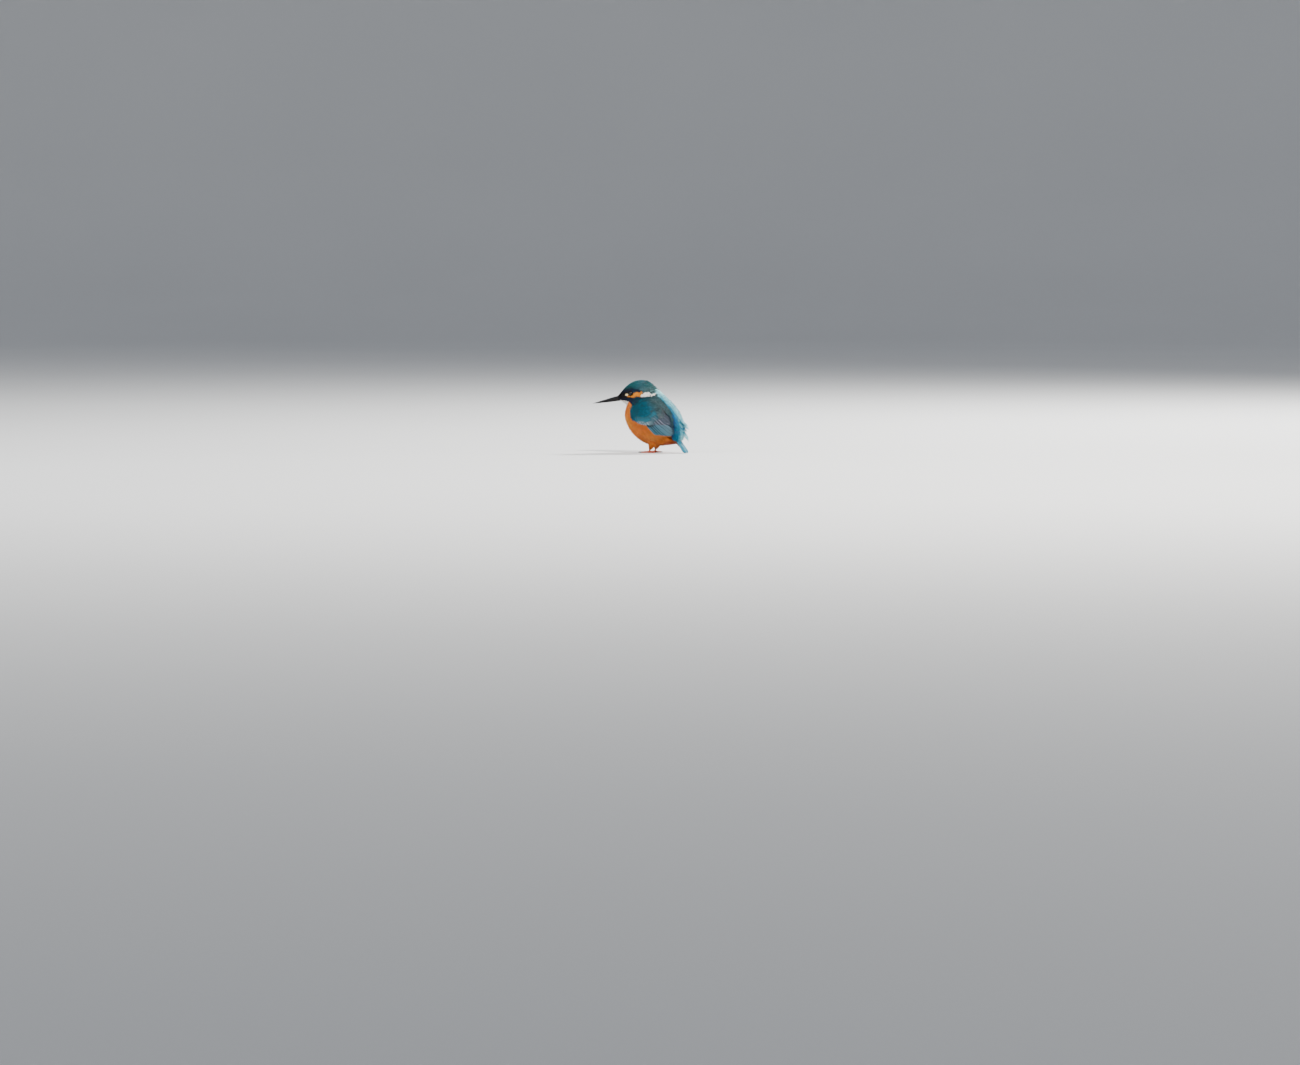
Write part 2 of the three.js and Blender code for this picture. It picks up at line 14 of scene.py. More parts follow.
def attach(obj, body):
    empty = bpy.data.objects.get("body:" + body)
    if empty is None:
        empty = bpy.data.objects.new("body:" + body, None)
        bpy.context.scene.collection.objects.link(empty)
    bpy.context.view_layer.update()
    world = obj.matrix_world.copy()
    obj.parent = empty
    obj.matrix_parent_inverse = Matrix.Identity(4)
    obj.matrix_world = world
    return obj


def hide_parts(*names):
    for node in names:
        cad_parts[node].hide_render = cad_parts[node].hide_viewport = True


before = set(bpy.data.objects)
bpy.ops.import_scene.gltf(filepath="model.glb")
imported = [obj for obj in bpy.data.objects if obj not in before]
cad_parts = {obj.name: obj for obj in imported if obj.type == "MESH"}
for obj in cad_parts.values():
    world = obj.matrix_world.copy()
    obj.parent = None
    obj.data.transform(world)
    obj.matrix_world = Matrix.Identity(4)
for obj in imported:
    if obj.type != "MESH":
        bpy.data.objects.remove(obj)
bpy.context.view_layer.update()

# ---- sizes shared with the solid model ----
MM = 0.001
ORIGIN_SHIFT = 8.0
TURN_X = -8.0
HEAD_TURN = math.radians(20)
BODY_SLOPE = math.radians(47)
TAIL_SLOPE = math.radians(55)
SECTION_POWER = 0.94

# Sections from the bill's root to the tail's root: [x, z] of the throat or belly end, [x, z] of the crown or
# back end, half width, and share of the head's turn.
SECTIONS = np.array([
    [-40.6, 66.0, -42.2, 70.2, 2.2, 1],
    [-36.9, 64.1, -38.2, 74.9, 5.9, 1],
    [-35.2, 63.0, -35.4, 78.2, 8.4, 1],
    [-33.6, 61.9, -30.6, 83.3, 10.8, 1],
    [-32.3, 60.8, -23.4, 88.2, 12.6, 1],
    [-31.6, 59.6, -15.2, 90.6, 13.7, 1],
    [-31.4, 58.2, -6.6, 90.2, 14.5, 0.97],
    [-31.6, 56.4, 1.4, 86.0, 15.4, 0.9],
    [-32.2, 54.2, 8.4, 79.6, 16.6, 0.75],
    [-33.0, 51.6, 15.2, 73.6, 18.0, 0.52],
    [-33.6, 48.4, 21.8, 68.0, 19.6, 0.28],
    [-33.7, 44.6, 28.4, 62.3, 21.0, 0.1],
    [-32.8, 40.0, 34.4, 55.8, 21.9, 0],
    [-30.6, 34.4, 39.2, 48.6, 22.3, 0],
    [-27.0, 28.4, 42.2, 41.2, 22.0, 0],
    [-21.6, 22.2, 42.8, 34.4, 20.9, 0],
    [-14.4, 16.4, 41.8, 29.4, 18.8, 0],
    [-5.6, 11.8, 40.0, 26.2, 15.8, 0],
    [4.6, 9.4, 38.2, 24.2, 12.6, 0],
    [14.6, 10.0, 37.0, 22.8, 9.8, 0],
    [22.0, 12.2, 36.2, 21.8, 7.6, 0],
    [26.4, 14.4, 35.8, 21.3, 6.2, 0],
])
LAST_SECTION = len(SECTIONS) - 1

EYE_AT = np.array([-24.2, 10.9, 74.0])
EYE_RADIUS = 3.3
WING_CENTRE = (9.5, 45.0)
WING_HUG = 0.94
RIGHT_WING_DROP = 3.5
SHIELD_CENTRE = (-10.0, 3.0)
SHIELD_SEMI = (24.0, 15.5)
SHIELD_TILT = math.radians(52)
MANTLE_HALF = 11.6
FLIGHT_TIPS = [[21.5, -8.8], [30.6, -0.4], [33.4, 6.0], [27.4, 11.6], [19.6, 16.0]]
TERTIAL_TIPS = [[11.5, -0.6], [15.0, 2.6], [18.2, 5.8], [21.2, 9.0], [22.8, 12.4], [19.0, 14.6]]
TAIL_ROOT = (34.6, 20.9)
TAIL_LENGTH = 27.2
TAIL_PAIRS = 6
TAIL_FEATHER_WIDTH = 5.0

# ---- plumage colours, linear ----
CROWN_DARK = (0.002, 0.016, 0.020)
CROWN_BAR = (0.008, 0.145, 0.165)
CROWN_BLUE = (0.006, 0.110, 0.210)
# Pale grey: a painted sheen on the nape.
NAPE_SHEEN_GREY = (0.17, 0.30, 0.29)
LORE_BLACK = (0.006, 0.004, 0.006)
BROW_BLUE = (0.002, 0.008, 0.028)
LORE_SPOT = (0.95, 0.78, 0.46)
EAR_ORANGE = (0.54, 0.180, 0.008)
NECK_WHITE = (0.93, 0.89, 0.84)
MALAR_BLUE = (0.003, 0.010, 0.034)
SHOULDER_TEAL = (0.003, 0.042, 0.058)
SHOULDER_SPOT = (0.016, 0.210, 0.345)
THROAT_WHITE = (0.93, 0.87, 0.80)
BREAST_ORANGE = (0.76, 0.185, 0.007)
BREAST_GOLD = (0.84, 0.30, 0.022)
BREAST_RED = (0.66, 0.135, 0.008)
BREAST_FRINGE = (0.90, 0.50, 0.22)
BELLY_BROWN = (0.46, 0.120, 0.014)
VENT_RUST = (0.30, 0.040, 0.010)
MANTLE_TEAL = (0.010, 0.042, 0.050)
MANTLE_EDGE = (0.060, 0.135, 0.150)
BACK_AZURE = (0.0003, 0.33, 0.47)
# Near-white cyan: a painted highlight on the azure of the back and the ruffled plumes.
BACK_PAINTED_HIGHLIGHT = (0.48, 0.94, 0.98)
RUMP_BLUE = (0.0005, 0.060, 0.27)
# Navy: painted shade on the back's sides by the wings; at the plumes' roots also their own dark bases.
NAVY_SHADE = (0.002, 0.010, 0.045)
FLIGHT_DARK = (0.001, 0.016, 0.030)
FLIGHT_EDGE = (0.12, 0.52, 0.70)
FLIGHT_EDGE_GREY = (0.34, 0.46, 0.54)
TERTIAL_GREY = (0.030, 0.040, 0.058)
TERTIAL_EDGE = (0.33, 0.34, 0.44)
GREAT_COVERT = (0.004, 0.050, 0.072)
GREAT_COVERT_TIP = (0.62, 0.78, 0.84)
GREAT_COVERT_GREY = (0.20, 0.27, 0.33)
MIDDLE_COVERT = (0.005, 0.070, 0.098)
MIDDLE_COVERT_TIP = (0.020, 0.24, 0.36)
LILAC_DARK = (0.055, 0.045, 0.050)
LILAC_TIP = (0.17, 0.15, 0.17)
SCAPULAR_GREY = (0.050, 0.052, 0.060)
SCAPULAR_TIP = (0.19, 0.16, 0.19)
WING_BED = (0.010, 0.070, 0.085)
TAIL_BLUE = (0.0001, 0.150, 0.235)
TAIL_EDGE = (0.0005, 0.34, 0.50)
RUST_TIP = (0.46, 0.10, 0.03)


# ---- numbers ----
def ease(value, low, high):
    share = np.clip((value - low) / (high - low), 0, 1)
    return share * share * (3 - 2 * share)


def mixed(first, second, share):
    share = np.asarray(share, float)[..., None]
    return np.asarray(first, float) * (1 - share) + np.asarray(second, float) * share


def unit(vectors):
    return vectors / np.maximum(np.linalg.norm(vectors, axis=-1, keepdims=True), 1e-9)


def square_to(out, along):
    """Outward directions made square to the lie of the feathers."""
    return unit(out - along * np.sum(out * along, -1, keepdims=True))


def varied(rng, colour, count, low, high):
    """One colour, darker or lighter from feather to feather."""
    return np.tile(colour, (count, 1)) * rng.uniform(low, high, (count, 1))


def with_strength(colours, strength):
    return np.append(colours, np.full((len(colours), 1), strength), 1)


def to_model(points):
    """Places in the solid model's frame, in metres."""
    return (points + np.array([ORIGIN_SHIFT, 0, 0])) * MM


def inside(x, z, outline):
    """Whether places seen from the side lie within an outline."""
    hit = np.zeros(np.shape(x), bool)
    for (x1, z1), (x2, z2) in zip(outline, outline[1:] + outline[:1]):
        crosses = (z1 > z) != (z2 > z)
        with np.errstate(divide="ignore", invalid="ignore"):
            hit ^= crosses & (x < (x2 - x1) * (z - z1) / (z2 - z1) + x1)
    return hit


def rows_at(table, t):
    """Rows between the rows of a table, by a Catmull-Rom curve."""
    table = np.asarray(table, float)
    last = len(table) - 1
    t = np.clip(np.asarray(t, float), 0, last)
    i = np.minimum(t.astype(int), last - 1)
    f = (t - i)[..., None]
    a, b, c, d = (table[np.clip(i + k, 0, last)] for k in (-1, 0, 1, 2))
    return b + 0.5 * f * (c - a + f * (2 * a - 5 * b + 4 * c - d + f * (3 * (b - c) + d - a)))


# ---- the body's surface ----
def turned(points, share):
    angle = HEAD_TURN * np.asarray(share, float)
    x = points[..., 0] - TURN_X
    y = points[..., 1]
    east = TURN_X + x * np.cos(angle) - y * np.sin(angle)
    north = x * np.sin(angle) + y * np.cos(angle)
    return np.stack([east, north, points[..., 2]], -1)


def body_place(t, around, lift=0.0, straight=False):
    """A place on the body: t counts sections, around runs from the back (0) by the right side to the belly
    (pi). With straight, the head isn't turned."""
    row = rows_at(SECTIONS, t)
    half_x = (row[..., 2] - row[..., 0]) / 2
    half_z = (row[..., 3] - row[..., 1]) / 2
    size = np.hypot(half_x, half_z)
    up = np.cos(around)
    out = np.sin(around)
    up = np.sign(up) * np.abs(up) ** SECTION_POWER * (size + lift) / size
    out = np.sign(out) * np.abs(out) ** SECTION_POWER * (row[..., 4] + lift)
    x = (row[..., 0] + row[..., 2]) / 2 + half_x * up
    z = (row[..., 1] + row[..., 3]) / 2 + half_z * up
    point = np.stack([x, out, z], -1)
    return point if straight else turned(point, row[..., 5])


def body_frame(t, around, lift=0.0):
    """Places on the body with their tailward and outward directions."""
    step = 0.02
    t = np.clip(t, step, LAST_SECTION - step)
    at = body_place(t, around, lift)
    along = unit(body_place(t + step, around, lift) - body_place(t - step, around, lift))
    ring = unit(body_place(t, around + step, lift) - body_place(t, around - step, lift))
    return at, along, unit(np.cross(along, ring))


def body_curve(t, around, length):
    """How fast the surface falls away over a feather's length, as one over the radius in millimetres."""
    at, along, out = body_frame(t, around)
    middle = np.minimum(t + length / 2 / speed_along(t, around), LAST_SECTION)
    end = np.minimum(middle + length / 2 / speed_along(middle, around), LAST_SECTION)
    gone = body_place(end, around) - at
    run = np.maximum(np.sum(gone * along, -1), length * 0.6)
    return np.clip(-2 * np.sum(gone * out, -1) / run ** 2, -0.13, 0.16)


def speed_along(t, around):
    """Millimetres of surface to one section."""
    t = np.clip(t, 0.05, LAST_SECTION - 0.05)
    return np.linalg.norm(body_place(t + 0.05, around) - body_place(t - 0.05, around), axis=-1) / 0.1


# ---- the wing's surface ----
def half_width_at(x, z):
    """The body's half width where its side meets a place seen from the side."""
    low = np.full(np.shape(x), 4.0)
    high = np.full(np.shape(x), float(LAST_SECTION))
    for _ in range(15):
        t = (low + high) / 2
        row = rows_at(SECTIONS, t)
        x1, z1, x2, z2 = (row[..., k] for k in range(4))
        beyond = (x2 - x1) * (z - z1) > (z2 - z1) * (x - x1)
        high = np.where(beyond, t, high)
        low = np.where(beyond, low, t)
    row = rows_at(SECTIONS, low)
    x1, z1, x2, z2 = (row[..., k] for k in range(4))
    gone = np.hypot(x - (x1 + x2) / 2, z - (z1 + z2) / 2)
    across = WING_HUG * 2 * gone / np.hypot(x2 - x1, z2 - z1)
    left = np.maximum(0.24, 1 - np.minimum(1, across) ** (2 / SECTION_POWER))
    return row[..., 4] * left ** (SECTION_POWER / 2)


def wing_place(p, q, lift, side):
    """Places on a folded wing: p runs tailward, q towards the back, lift outward. Side is -1 for the left."""
    cos = math.cos(BODY_SLOPE)
    sin = math.sin(BODY_SLOPE)
    lift = lift - 2.4 * ease(q, 10, 19)
    q = q - max(side, 0) * RIGHT_WING_DROP * ease(q, 0, 16)
    x = WING_CENTRE[0] + p * cos + q * sin
    z = WING_CENTRE[1] - p * sin + q * cos
    step = 1.5
    y = half_width_at(x, z)
    slope_x = (half_width_at(x + step, z) - half_width_at(x - step, z)) / (2 * step)
    slope_z = (half_width_at(x, z + step) - half_width_at(x, z - step)) / (2 * step)
    out = unit(np.stack([-slope_x, np.full_like(x, side), -slope_z], -1))
    at = np.stack([x, side * y, z], -1) + out * np.asarray(lift, float)[..., None]
    return at, out


# ---- markings ----
EAR_PATCH = [(-28.5, 69.8), (-25, 71.6), (-22, 72.9), (-18.5, 74.9), (-14, 76.0), (-8.4, 75.9),
             (-9.2, 73.6), (-11.8, 70.0), (-17, 69.4), (-23, 69.1), (-28, 69.2)]
NECK_PATCH = [(-11.4, 70.8), (-9.2, 73.6), (-8.0, 74.6), (-3, 75.4), (3, 75.2), (7.5, 74.4), (7.5, 71.8),
              (2, 70.6), (-5, 70.0), (-10.5, 70.2)]
CROWN_EDGE = [(-40, 73.0), (-36, 75.2), (-30, 76.6), (-24, 78.2), (-18, 77.2), (-9, 75.6), (2, 75.0),
              (12, 73.8)]
SHOULDER_EDGE = [(34, -7.0), (38, -9.7), (43.9, -14.1), (48.5, -17.5), (55.3, -22.8), (60, -27.2),
                 (64, -31)]
MALAR_EDGE = [(-38, 65.8), (-32, 64.6), (-27.5, 63.3), (-25.2, 61.6), (-22.5, 59.6), (-5, 60.0)]
STRIP_WIDTH = [(7.6, 5.0), (8.4, 9.0), (9.2, 10.5), (10, 10.2), (11, 9.8), (12, 9.8), (13, 10.2),
               (14, 10.2), (16, 8.5), (18, 6.5), (21, 6.0)]


def markings(t, around, wobble):
    """Colour and tip mark, with its strength as a fourth number, at places on the body. Wobble blurs the
    borders."""
    wobble = wobble * (0.25 + 0.75 * ease(t, 2, 6))[..., None]
    place = body_place(t, around, straight=True)
    x = place[..., 0] + wobble[..., 0]
    y = place[..., 1]
    z = place[..., 2] + wobble[..., 1]
    down = np.abs(np.degrees(around))
    crown_z = np.interp(x, *zip(*CROWN_EDGE))
    shoulder_x = np.interp(z, *zip(*SHOULDER_EDGE))
    strip = np.interp(t, *zip(*STRIP_WIDTH)) + wobble[..., 0]

    drift = 0.5 + 0.28 * np.sin(3.4 * around + 0.8 * t) + 0.22 * np.sin(7.3 * around - 1.1 * t + 2.0)
    belly = mixed(BREAST_ORANGE, BREAST_GOLD, ease(drift, 0.5, 1.0))
    belly = mixed(belly, BREAST_RED, ease(drift, 0.5, 0.05) * 0.8)
    front = ease(down, 146, 170) * ease(t, 5.5, 7) * (1 - ease(t, 12, 16))
    belly = mixed(belly, BREAST_FRINGE, front * 0.35)
    belly = mixed(belly, BELLY_BROWN, ease(t, 14, 18) * 0.85)
    tint = mixed(belly, VENT_RUST, ease(t, 17.6, 19.4))
    mark = np.zeros(tint.shape[:-1] + (4,))
    mark[..., :3] = mixed(tint, BREAST_FRINGE, np.full(tint.shape[:-1], 0.35))
    mark[..., 3] = 0.30

    def paint(where, colour, tip=None, strength=0.0):
        tint[where] = np.broadcast_to(colour, tint.shape)[where]
        mark[where, :3] = np.broadcast_to(colour if tip is None else tip, tint.shape)[where]
        mark[where, 3] = strength

    paint((t < 6.3) & (down > 88) & (z < 66.5) & (x < -24.4), THROAT_WHITE)
    side = (x > shoulder_x) & (down < 122) & (z > 37.5) & (t < 13)
    paint(side, SHOULDER_TEAL, SHOULDER_SPOT, 0.8)
    malar = (z > np.interp(x, *zip(*MALAR_EDGE))) & (z < crown_z) & (t < 9)
    paint(malar & (x < -22), MALAR_BLUE)
    paint(malar & (x >= -22), MALAR_BLUE, SHOULDER_TEAL, 0.6)
    mantle = np.interp(t, [8.3, 12.5, 14.0, 16.0], [88, 88, 66, 48])
    paint((t > 8.3) & (down < mantle), MANTLE_TEAL, MANTLE_EDGE, 0.5)
    lore = (x < -23) & (z < crown_z) & (z > 68.0) & (down < 118)
    paint(lore, LORE_BLACK)
    paint(inside(x, z, EAR_PATCH), EAR_ORANGE, BREAST_GOLD, 0.25)
    paint(inside(x, z, NECK_PATCH), NECK_WHITE)
    paint(np.hypot((x + 29.5) / 2.1, (z - 72.5) / 1.4) < 1, LORE_SPOT)
    crown = (z > crown_z) & (t < 8.6)
    barred = ease(z - crown_z, 1.0, 6.0) * (0.35 + 0.65 * ease(t, 1.5, 3.5))
    bar = mixed(CROWN_DARK, CROWN_BAR, barred)
    bar = mixed(bar, CROWN_BLUE, ease(t, 4.0, 6.5) * 0.6)
    # Towards the nape the bars turn pale grey: a painted sheen.
    bar = mixed(bar, NAPE_SHEEN_GREY, ease(t, 4.6, 7.6) * 0.62)
    paint(crown, CROWN_DARK, bar, 1.0)
    paint(crown & (z < crown_z + 2.4) & (x < -12), BROW_BLUE)
    azure = (np.abs(y) < strip) & (down < 78) & (t > 7.9)
    # The middle of the back, and its front end by the nape, are painted near-white as a highlight.
    back = mixed(BACK_PAINTED_HIGHLIGHT, BACK_AZURE, ease(np.abs(y), 2, 8))
    back = mixed(back, RUMP_BLUE, ease(np.abs(y), 7, 12) * ease(t, 9, 12))
    back = mixed(back, BACK_PAINTED_HIGHLIGHT, (1 - ease(t, 8.4, 10.2)) * 0.5)
    # Painted shade: navy towards the sides, by the folded wings.
    back = mixed(back, NAVY_SHADE, ease(np.abs(y), 6.5, 10.5) * ease(t, 11.5, 14) * 0.8)
    paint(azure, back, mixed(BACK_PAINTED_HIGHLIGHT, back, ease(np.abs(y), 4, 10)), 0.42)
    return tint, mark


# ---- meshes from arrays ----
def drop_selection():
    bpy.ops.object.select_all(action="DESELECT")


def array_mesh(name, points, triangles, uv, extras):
    """A mesh from arrays: points in the bird's millimetres, triangles, a bake map and named attributes."""
    mesh = bpy.data.meshes.new(name)
    mesh.vertices.add(len(points))
    mesh.vertices.foreach_set("co", to_model(points).astype(np.float32).ravel())
    mesh.loops.add(triangles.size)
    mesh.loops.foreach_set("vertex_index", triangles.astype(np.int32).ravel())
    mesh.polygons.add(len(triangles))
    mesh.polygons.foreach_set("loop_start", np.arange(0, triangles.size, 3, dtype=np.int32))
    mesh.polygons.foreach_set("use_smooth", np.ones(len(triangles), bool))
    for label, values in extras.items():
        four = values.shape[-1] == 4
        layer = mesh.attributes.new(label, "FLOAT_COLOR" if four else "FLOAT_VECTOR", "POINT")
        layer.data.foreach_set("color" if four else "vector", values.astype(np.float32).ravel())
    baked = mesh.uv_layers.new(name="OFBake")
    baked.data.foreach_set("uv", uv[triangles.ravel()].astype(np.float32).ravel())
    mesh.update(calc_edges=True)
    piece = bpy.data.objects.new(name, mesh)
    bpy.context.scene.collection.objects.link(piece)
    return piece


def ring_triangles(sides, rings, closed_tip):
    """Triangles of a tube of rings with a flat root, and one point or a flat end at its tip."""
    faces = [[0, k + 1, k] for k in range(1, sides - 1)]
    for r in range(rings - 1):
        for k in range(sides):
            a = r * sides + k
            b = r * sides + (k + 1) % sides
            faces += [[a, b, b + sides], [a, b + sides, a + sides]]
    last = (rings - 1) * sides
    if closed_tip:
        faces += [[last + k, last + (k + 1) % sides, rings * sides] for k in range(sides)]
    else:
        faces += [[last, last + k, last + k + 1] for k in range(1, sides - 1)]
    return np.array(faces)


PATCH = 0.003


def patch_uv(root_uv, along, across):
    """Each feather's own small patch of the bake map, at its root's place on the unwrapped skin."""
    return root_uv + np.stack([across * PATCH / 2, along * PATCH], -1)


def skin_uv(t, around):
    """Places on the unwrap of the skin's shape."""
    return np.stack([0.02 + 0.96 * (around / (2 * math.pi) + 0.5), 0.02 + 0.95 * t / LAST_SECTION], -1)


class Rows:
    """Feathers side by side, one row of each array for one feather. One curve may stand for all of them."""

    def __init__(self, at, along, out, length, width, curve, root_uv, tint, mark):
        self.at = at
        self.along = along
        self.out = out
        self.length = length
        self.width = np.broadcast_to(width, length.shape)
        self.curve = np.broadcast_to(curve, length.shape)
        self.root_uv = root_uv
        self.tint = tint
        self.mark = mark

    def kept(self, keep):
        return Rows(*(part[keep] for part in vars(self).values()))


# How soft feathers part: how many barb clumps, the share of the length where these part, how far they spread,
# and the stations along them.
SHORT = (0.0, 0.45, 0.8, 1.0)
BROAD = (0.0, 0.4, 0.75, 1.0)
LONG = (0.0, 0.3, 0.6, 0.85, 1.0)
FANS = {
    "face": (4, 0.6, 0.04, SHORT),
    "eye edge": (5, 0.6, 0.04, SHORT),
    "crown": (5, 0.7, 0.03, SHORT),
    "nape": (6, 0.6, 0.05, (0.0, 0.35, 0.65, 0.88, 1.0)),
    "collar": (7, 0.55, 0.05, SHORT),
    "scaled": (10, 0.86, 0.02, SHORT),
    "silk": (12, 0.66, 0.02, SHORT),
    "down": (9, 0.4, 0.05, SHORT),
    "covert": (11, 0.88, 0.015, BROAD),
    "trousers": (8, 0.45, 0.05, BROAD),
    "plume": (10, 0.6, 0.02, LONG),
    "tail covert": (10, 0.7, 0.02, LONG),
    "prong": (7, 0.8, 0.0, (0.0, 0.25, 0.5, 0.75, 0.9, 1.0)),
    "vent": (9, 0.5, 0.03, LONG),
    "undertail": (9, 0.5, 0.02, LONG),
}


def tufts(name, rows, sunk, rise, fan, rng, root_width=0.55):
    """Soft feathers, each a fan of tapering barb clumps. Sunk is the root's depth and rise the tip's height,
    both along the outward direction."""
    fingers, split, spread, stations = FANS[fan]
    n = len(rows.length)
    s = np.asarray(stations)
    count = len(s)
    length = rows.length[:, None, None]
    width = rows.width[:, None, None]
    curve = rows.curve[:, None, None]
    sunk = np.broadcast_to(sunk, n)[:, None, None]
    rise = np.broadcast_to(rise, n)[:, None, None]
    c = (np.arange(fingers) + 0.5) / fingers * 2 - 1
    reach = 1 - 0.22 * c[None, :] ** 2 - 0.18 * rng.random((n, fingers))
    steps = s[None, None, :] * reach[:, :, None]
    run = length * steps
    climb = -sunk + (sunk + rise) * steps ** 0.8
    climb = climb - curve * run ** 2 / 2
    climb = climb - 0.08 * width * c[None, :, None] ** 2
    climb = climb + 0.035 * length * steps ** 2 * rng.standard_normal((n, fingers, 1))
    side = np.cross(rows.out, rows.along)
    open_out = np.clip((steps - split) / (1 - split), 0, 1)
    wide = root_width + (1 - root_width) * np.clip(steps / 0.5, 0, 1)
    sway = c[None, :, None] * (width / 2 * wide + spread * length * open_out ** 1.3)
    sway = sway + 0.035 * length * steps ** 2 * rng.standard_normal((n, fingers, 1))
    centre = (
        rows.at[:, None, None, :]
        + rows.along[:, None, None, :] * run[..., None]
        + rows.out[:, None, None, :] * climb[..., None]
        + side[:, None, None, :] * sway[..., None]
    )
    thin = 1 - 0.75 * open_out
    half = (width / fingers * 0.62 * wide * thin)[..., None]
    fall = (curve * run)[..., None]
    bent_out = unit(rows.out[:, None, None, :] + rows.along[:, None, None, :] * fall)
    left = centre - side[:, None, None, :] * half
    right = centre + side[:, None, None, :] * half
    top = centre + bent_out * half * 0.45
    body = np.stack([left, right, top], axis=3)[:, :, : count - 1]
    tip = centre[:, :, count - 1]
    points = np.concatenate([body.reshape(n, fingers, -1, 3), tip[:, :, None, :]], axis=2)
    each = points.shape[2]
    faces = ring_triangles(3, count - 1, True)
    offsets = np.arange(n * fingers) * each
    triangles = (faces[None] + offsets[:, None, None]).reshape(-1, 3)

    def on_points(ring_values, tip_values):
        ring = np.repeat(ring_values[:, :, : count - 1], 3, axis=2)
        return np.concatenate([ring, tip_values], axis=2)

    s_all = on_points(steps, steps[:, :, -1:])
    c_all = np.broadcast_to(c[None, :, None], s_all.shape)
    seed = np.broadcast_to(rng.random((n, 1, 1)), s_all.shape)
    lay = np.stack([s_all, c_all, seed], -1).reshape(-1, 3)
    uv = patch_uv(rows.root_uv[:, None, None, :], s_all, c_all).reshape(-1, 2)
    pattern = np.interp(rows.mark[:, 3:], [0.75, 0.80, 0.95, 1.0], [0.0, 1.0, 1.0, 0.5])
    tint = np.broadcast_to(np.append(rows.tint, pattern, 1)[:, None, None, :], s_all.shape + (4,))
    mark = np.broadcast_to(rows.mark[:, None, None, :], s_all.shape + (4,))
    return array_mesh(name, points.reshape(-1, 3), triangles, uv, {"tint": tint, "mark": mark, "lay": lay})


NOTCH_DEPTH = 0.14


def vanes(name, centre, out, width, thick, outline, split, root_uv, tint, mark, rng, facing, notches,
          roll=0.0, shade=None):
    """Firm feathers along centre lines (feather, station, xyz). Outline gives each station's share of the
    width, and split the share of it that lies before the shaft. Facing puts the bright edge on the right (1)
    or left (-1), narrower for a smaller number. Notches says how many barb gaps break each edge, and shade
    scales each station's colour down: a painted shadow where the row above lies over it."""
    n, count = centre.shape[:2]
    along = unit(np.gradient(centre, axis=1))
    side = unit(np.cross(out, along))
    out = unit(np.cross(along, side))
    s = np.linspace(0, 1, count)
    share = np.broadcast_to(outline(s), (n, count)).copy()
    edges = []
    for sign, part in ((-1, split), (1, 1 - split)):
        edge = share * width[:, None] * part
        edge = edge * (1 + 0.015 * rng.standard_normal((n, count)))
        for _ in range(notches):
            where = rng.integers(count // 3, count - 2, n)
            edge[np.arange(n), where] *= rng.uniform(1 - NOTCH_DEPTH, 1 - NOTCH_DEPTH * 0.2, n)
        edges.append(sign * edge)
    low, high = edges
    columns = [(low, 1.0), (low * 0.5, 0.5), (np.zeros_like(low), 0.0), (high * 0.5, 0.5), (high, 1.0)]
    crown = {1.0: 0.0, 0.5: 0.35, 0.0: 0.75}
    tapered = np.clip(1.15 - s, 0.3, 1)[None, :, None]
    ring = []
    for across, at in columns:
        height = thick * crown[at] - 0.05 * np.abs(across)
        height = height + roll * across
        ring.append(centre + side * across[..., None] + out * height[..., None] * tapered)
    for across, at in columns[3:0:-1]:
        height = -thick * 0.45 - 0.05 * np.abs(across) + roll * across
        ring.append(centre + side * across[..., None] + out * height[..., None] * tapered)
    points = np.stack(ring, axis=2)
    sides = len(ring)
    faces = ring_triangles(sides, count, False)
    triangles = (faces[None] + (np.arange(n) * sides * count)[:, None, None]).reshape(-1, 3)
    c_row = np.array([-1, -0.5, 0, 0.5, 1, 0.5, 0, -0.5])
    s_all = np.broadcast_to(s[None, :, None], (n, count, sides))
    c_all = np.broadcast_to(c_row[None, None, :], (n, count, sides))
    seed = np.broadcast_to(rng.random((n, 1, 1)), (n, count, sides))
    uv = patch_uv(root_uv[:, None, None, :], s_all, c_all).reshape(-1, 2)
    run = np.linalg.norm(centre[:, -1] - centre[:, 0], axis=-1)[:, None, None] * s_all
    out_to = np.abs(c_all) * width[:, None, None] / 2
    wide = (n, count, sides, 4)
    # Painted shadow: each station's colour is scaled down by shade where the row above covers it.
    painted_shadow = np.ones((n, count, 1, 4))
    if shade is not None:
        painted_shadow[..., 0, :3] = shade[..., None]
    dark = with_strength(tint, 1.0)[:, None, None, :] * painted_shadow
    pale = mark[:, None, None, :] * painted_shadow
    extras = {
        "tint": np.broadcast_to(dark, wide),
        "mark": np.broadcast_to(pale, wide),
        "lay": np.stack([s_all, c_all * facing[:, None, None], seed], -1),
        "span": np.stack([run, out_to, seed], -1),
    }
    return array_mesh(name, points.reshape(-1, 3), triangles, uv, extras)


# ---- shader language ----
class Wire:
    """A number that varies over a surface. Arithmetic on it adds the nodes that work it out."""

    def __init__(self, recipe, socket):
        self.recipe = recipe
        self.socket = socket

    def sum(self, operation, *terms):
        return self.recipe.node("ShaderNodeMath", {"operation": operation}, dict(enumerate(terms)))

    def __add__(self, other):
        return self.sum("ADD", self, other)

    __radd__ = __add__

    def __sub__(self, other):
        return self.sum("SUBTRACT", self, other)

    def __rsub__(self, other):
        return self.sum("SUBTRACT", other, self)

    def __mul__(self, other):
        return self.sum("MULTIPLY", self, other)

    __rmul__ = __mul__

    def size(self):
        return self.sum("ABSOLUTE", self)

    def sine(self):
        return self.sum("SINE", self)

    def between(self, low, high):
        """0 below low, 1 above high, and a soft step from one to the other."""
        settings = {"interpolation_type": "SMOOTHSTEP"}
        return self.recipe.node("ShaderNodeMapRange", settings, {0: self, 1: low, 2: high})


